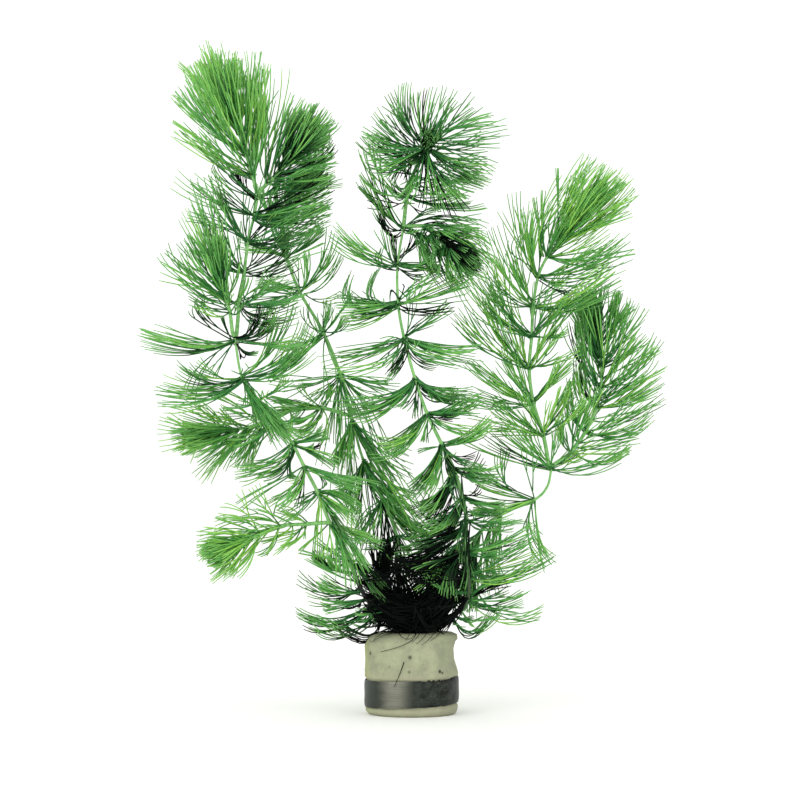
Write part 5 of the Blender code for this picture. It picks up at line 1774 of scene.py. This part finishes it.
class LeafSettings(bpy.types.PropertyGroup):
    """Settings for the stems and their leaves."""

    thread: bpy.props.FloatProperty(
        name="Thread thickness", description="Thickness of a leaf where it leaves the stem",
        default=0.00062, min=0.0001, unit="LENGTH",
    )
    sag: bpy.props.FloatProperty(
        name="Sag", description="How far a leaf bows down along the stem",
        default=0.0032, min=0.0, unit="LENGTH",
    )
    length_spread: bpy.props.FloatProperty(
        name="Length spread", description="How much shorter the shortest leaf of a whorl is",
        default=0.22, min=0.0, max=0.9, subtype="FACTOR",
    )
    fork_spread: bpy.props.FloatProperty(
        name="Fork spread", description="How far a leaf's threads part, as a share of its length",
        default=0.17, min=0.0, max=1.0, subtype="FACTOR",
    )
    whorl_share: bpy.props.FloatProperty(
        name="Whorl share", description="Share of a whorl's leaves that grow evenly round the stem",
        default=0.52, min=0.1, max=2.0, subtype="FACTOR",
    )
    bundling: bpy.props.FloatProperty(
        name="Bundling", description="How far wet leaves cling together in bundles",
        default=0.45, min=0.0, max=1.0, subtype="FACTOR",
    )
    rings: bpy.props.IntProperty(
        name="Rings", description="Rings along the longest thread", default=9, min=5,
    )
    sides: bpy.props.IntProperty(
        name="Sides", description="Sides round a thread", default=3, min=3,
    )
    stem_step: bpy.props.FloatProperty(
        name="Stem step", description="Length between a stem's rings",
        default=0.0008, min=0.0001, unit="LENGTH",
    )
    deep: bpy.props.FloatVectorProperty(
        name="Deep green", description="The darkest leaves",
        default=(0.009, 0.048, 0.015), min=0.0, max=1.0, subtype="COLOR",
    )
    mid: bpy.props.FloatVectorProperty(
        name="Mid green", description="Leaves of the main stems",
        default=(0.060, 0.260, 0.066), min=0.0, max=1.0, subtype="COLOR",
    )
    bright: bpy.props.FloatVectorProperty(
        name="Bright green", description="Leaves of the side shoots",
        default=(0.122, 0.420, 0.092), min=0.0, max=1.0, subtype="COLOR",
    )
    young: bpy.props.FloatVectorProperty(
        name="Young green", description="The youngest leaves",
        default=(0.310, 0.650, 0.110), min=0.0, max=1.0, subtype="COLOR",
    )
    tip: bpy.props.FloatVectorProperty(
        name="Leaf tips", description="The paler ends of the leaves",
        default=(0.27, 0.58, 0.17), min=0.0, max=1.0, subtype="COLOR",
    )
    shaded: bpy.props.FloatVectorProperty(
        name="Shaded green", description="Where leaves are lightly shaded",
        default=(0.046, 0.190, 0.054), min=0.0, max=1.0, subtype="COLOR",
    )
    black: bpy.props.FloatVectorProperty(
        name="Deepest shade", description="Where the bunch is densest",
        default=(0.002, 0.004, 0.003), min=0.0, max=1.0, subtype="COLOR",
    )
    stem: bpy.props.FloatVectorProperty(
        name="Stem", description="The pale green of the stems",
        default=(0.26, 0.55, 0.17), min=0.0, max=1.0, subtype="COLOR",
    )
    stem_streaks: bpy.props.FloatVectorProperty(
        name="Stem streaks", description="Faint streaks on the stems",
        default=(0.12, 0.37, 0.09), min=0.0, max=1.0, subtype="COLOR",
    )


class FootSettings(bpy.types.PropertyGroup):
    """Settings for the foam plug and the strip."""

    around: bpy.props.IntProperty(
        name="Steps round", description="Steps round the foam plug", default=220, min=24,
    )
    foam: bpy.props.FloatVectorProperty(
        name="Foam", description="The plug's grey-green",
        default=(0.375, 0.392, 0.255), min=0.0, max=1.0, subtype="COLOR",
    )
    foam_grey: bpy.props.FloatVectorProperty(
        name="Foam patches", description="Greyer patches on the plug",
        default=(0.272, 0.292, 0.196), min=0.0, max=1.0, subtype="COLOR",
    )
    foam_warm: bpy.props.FloatVectorProperty(
        name="Foam above strip", description="Warmer foam above the strip",
        default=(0.385, 0.362, 0.255), min=0.0, max=1.0, subtype="COLOR",
    )
    foam_rim: bpy.props.FloatVectorProperty(
        name="Foam left edge", description="Yellower foam at the plug's left",
        default=(0.380, 0.412, 0.172), min=0.0, max=1.0, subtype="COLOR",
    )
    # Also the painted shade on the plug's right side
    foam_shade_and_pores: bpy.props.FloatVectorProperty(
        name="Foam shade and pores", description="Duller foam at the plug's right",
        default=(0.210, 0.228, 0.158), min=0.0, max=1.0, subtype="COLOR",
    )
    metal: bpy.props.FloatVectorProperty(
        name="Metal", description="The strip's near black",
        default=(0.006, 0.008, 0.006), min=0.0, max=1.0, subtype="COLOR",
    )
    metal_grey: bpy.props.FloatVectorProperty(
        name="Metal blotches", description="Greyer blotches on the strip",
        default=(0.034, 0.040, 0.033), min=0.0, max=1.0, subtype="COLOR",
    )
    # The painted highlight at the strip's front; the fine bright specks take this colour too
    metal_highlight_and_specks: bpy.props.FloatVectorProperty(
        name="Painted highlight", description="The strip's scraped patch",
        default=(0.262, 0.262, 0.212), min=0.0, max=1.0, subtype="COLOR",
    )
    # Also the colour of the painted sheen over the strip's left half
    metal_lines_and_sheen: bpy.props.FloatVectorProperty(
        name="Metal lines and sheen", description="Fine lines along the strip",
        default=(0.060, 0.070, 0.058), min=0.0, max=1.0, subtype="COLOR",
    )


class StageSettings(bpy.types.PropertyGroup):
    """Settings for the floor, the lights and the camera."""

    distance: bpy.props.FloatProperty(
        name="Camera distance", description="From the camera to the bunch",
        default=1.2, min=0.1, unit="LENGTH",
    )
    frame_width: bpy.props.FloatProperty(
        name="Picture width", description="Width of the picture at the bunch",
        default=0.296, min=0.01, unit="LENGTH",
    )
    key_power: bpy.props.FloatProperty(
        name="Key light", description="Power of the large light at the front left",
        default=5.0, min=0.0, unit="POWER",
    )
    sky: bpy.props.FloatProperty(
        name="Sky light", description="Strength of the light from all round", default=1.16, min=0.0,
    )
    sky_colour: bpy.props.FloatVectorProperty(
        name="Sky colour", description="Colour of the light from all round",
        default=(1.0, 1.0, 0.985), min=0.0, max=1.0, subtype="COLOR",
    )
    floor: bpy.props.FloatVectorProperty(
        name="Floor", description="The pale floor",
        default=(0.93, 0.93, 0.915), min=0.0, max=1.0, subtype="COLOR",
    )


class BunchSettings(bpy.types.PropertyGroup):
    """All the settings of the bunch."""

    leaf: bpy.props.PointerProperty(
        type=LeafSettings, name="Leaves", description="Settings for stems and leaves",
    )
    foot: bpy.props.PointerProperty(
        type=FootSettings, name="Foot", description="Settings for the plug and the strip",
    )
    stage: bpy.props.PointerProperty(
        type=StageSettings, name="Stage", description="Settings for floor, lights and camera",
    )


def new_piece(name, points, faces, material, sharp):
    mesh = bpy.data.meshes.new(name)
    mesh.from_pydata([tuple(value * MM for value in point) for point in points], [], faces)
    mesh.materials.append(material)
    mesh.shade_smooth()
    mesh.set_sharp_from_angle(angle=math.radians(sharp))
    piece = bpy.data.objects.new(name, mesh)
    bpy.context.scene.collection.objects.link(piece)
    return piece


def settle(piece, node):
    """Joins a piece to the frame in place of the solid it stands for."""
    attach(piece, "root")
    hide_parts(node)


class HORNWORT_OT_shoots(bpy.types.Operator):
    """Grow the stems and side shoots with their thread leaves"""

    bl_idname = "hornwort.shoots"
    bl_label = "Grow shoots"

    def execute(self, context):
        settings = context.scene.hornwort.leaf
        materials = (leaf_material(settings), stem_material(settings))
        for seed, (name, shoot) in enumerate(SHOOTS.items()):
            chance = random.Random(40 + seed)
            maker = MeshMaker()
            add_stem(maker, shoot, settings)
            places = grown_places(shoot)
            frames = stem_frames([place.at for place in places])
            leaves = []
            last = len(places) - 1
            for index, place in enumerate(places):
                if place.kind in ("whorl", "rosette"):
                    radius = shoot.radius + (TIP_RADIUS - shoot.radius) * index / last
                    leaves += whorl_leaves(place, frames[index], radius, shoot, chance, settings)
            leaves += bud_leaves(shoot, frames, places, chance, settings)
            leaves += sweep_leaves(name, shoot, chance, settings)
            leaves += tangle_leaves(name, shoot, chance)
            add_leaves(maker, leaves, chance, settings)
            if name == "middle_stem":
                add_strays(maker, shoot)
            if maker.count == 0:
                raise RuntimeError(f"no leaves grew on {name}")
            settle(maker.finish("leafy_" + name, materials), name)
        return {"FINISHED"}


class HORNWORT_OT_plug(bpy.types.Operator):
    """Make the foam plug that holds the stems"""

    bl_idname = "hornwort.plug"
    bl_label = "Make foam plug"

    def execute(self, context):
        settings = context.scene.hornwort.foot
        points, faces = make_plug(settings)
        piece = new_piece("porous_foam_plug", points, faces, foam_material(settings), PLUG_SHARP)
        settle(piece, "foam_plug")
        return {"FINISHED"}


class HORNWORT_OT_strip(bpy.types.Operator):
    """Wind the soft metal strip round the plug"""

    bl_idname = "hornwort.strip"
    bl_label = "Wind metal strip"

    def execute(self, context):
        settings = context.scene.hornwort.foot
        points, faces = make_strip(settings)
        piece = new_piece("brushed_metal_strip", points, faces, metal_material(settings), STRIP_SHARP)
        settle(piece, "lead_strip")
        return {"FINISHED"}


class HORNWORT_OT_stage(bpy.types.Operator):
    """Set the floor, the lights and the camera"""

    bl_idname = "hornwort.stage"
    bl_label = "Set stage"

    def execute(self, context):
        settings = context.scene.hornwort.stage
        scene = context.scene
        floor = make_floor(settings)
        key = add_area("key_light", KEY_PLACE, KEY_SIZE, settings.key_power)
        fill = add_area("fill_light", FILL_PLACE, FILL_SIZE, settings.key_power * FILL_SHARE)
        world = bpy.data.worlds.new("studio")
        world.use_nodes = True
        background = world.node_tree.nodes["Background"]
        background.inputs["Color"].default_value = (*settings.sky_colour, 1.0)
        background.inputs["Strength"].default_value = settings.sky
        scene.world = world
        scene.view_settings.view_transform = "Standard"
        camera = bpy.data.cameras.new("camera")
        camera.sensor_width = CAMERA_SENSOR
        camera.lens = camera.sensor_width * settings.distance / settings.frame_width
        camera.clip_start = 0.01
        holder = bpy.data.objects.new("camera", camera)
        scene.collection.objects.link(holder)
        holder.location = (EYE.x * MM, -settings.distance, EYE.z * MM)
        holder.rotation_euler = (math.radians(90), 0.0, 0.0)
        scene.camera = holder
        return {"FINISHED"}


class HORNWORT_PT_panel(bpy.types.Panel):
    """Sidebar panel with the steps and settings of the bunch"""

    bl_label = "Hornwort bunch"
    bl_idname = "HORNWORT_PT_panel"
    bl_space_type = "VIEW_3D"
    bl_region_type = "UI"
    bl_category = "Hornwort"

    def draw(self, context):
        layout = self.layout
        settings = context.scene.hornwort
        for part, steps in PANEL_PARTS:
            box = layout.box()
            group = getattr(settings, part)
            for key in group.__annotations__:
                box.prop(group, key)
            for step in steps:
                box.operator(step)


PANEL_PARTS = (
    ("leaf", ("hornwort.shoots",)),
    ("foot", ("hornwort.plug", "hornwort.strip")),
    ("stage", ("hornwort.stage",)),
)
CLASSES = (
    LeafSettings,
    FootSettings,
    StageSettings,
    BunchSettings,
    HORNWORT_OT_shoots,
    HORNWORT_OT_plug,
    HORNWORT_OT_strip,
    HORNWORT_OT_stage,
    HORNWORT_PT_panel,
)


def register():
    for item in CLASSES:
        bpy.utils.register_class(item)
    bpy.types.Scene.hornwort = bpy.props.PointerProperty(
        type=BunchSettings, name="Hornwort bunch", description="Settings of the hornwort bunch",
    )


def unregister():
    del bpy.types.Scene.hornwort
    for item in reversed(CLASSES):
        bpy.utils.unregister_class(item)


def main():
    register()
    bpy.ops.hornwort.shoots()
    bpy.ops.hornwort.plug()
    bpy.ops.hornwort.strip()
    bpy.ops.hornwort.stage()
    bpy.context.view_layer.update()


if __name__ == "__main__":
    main()
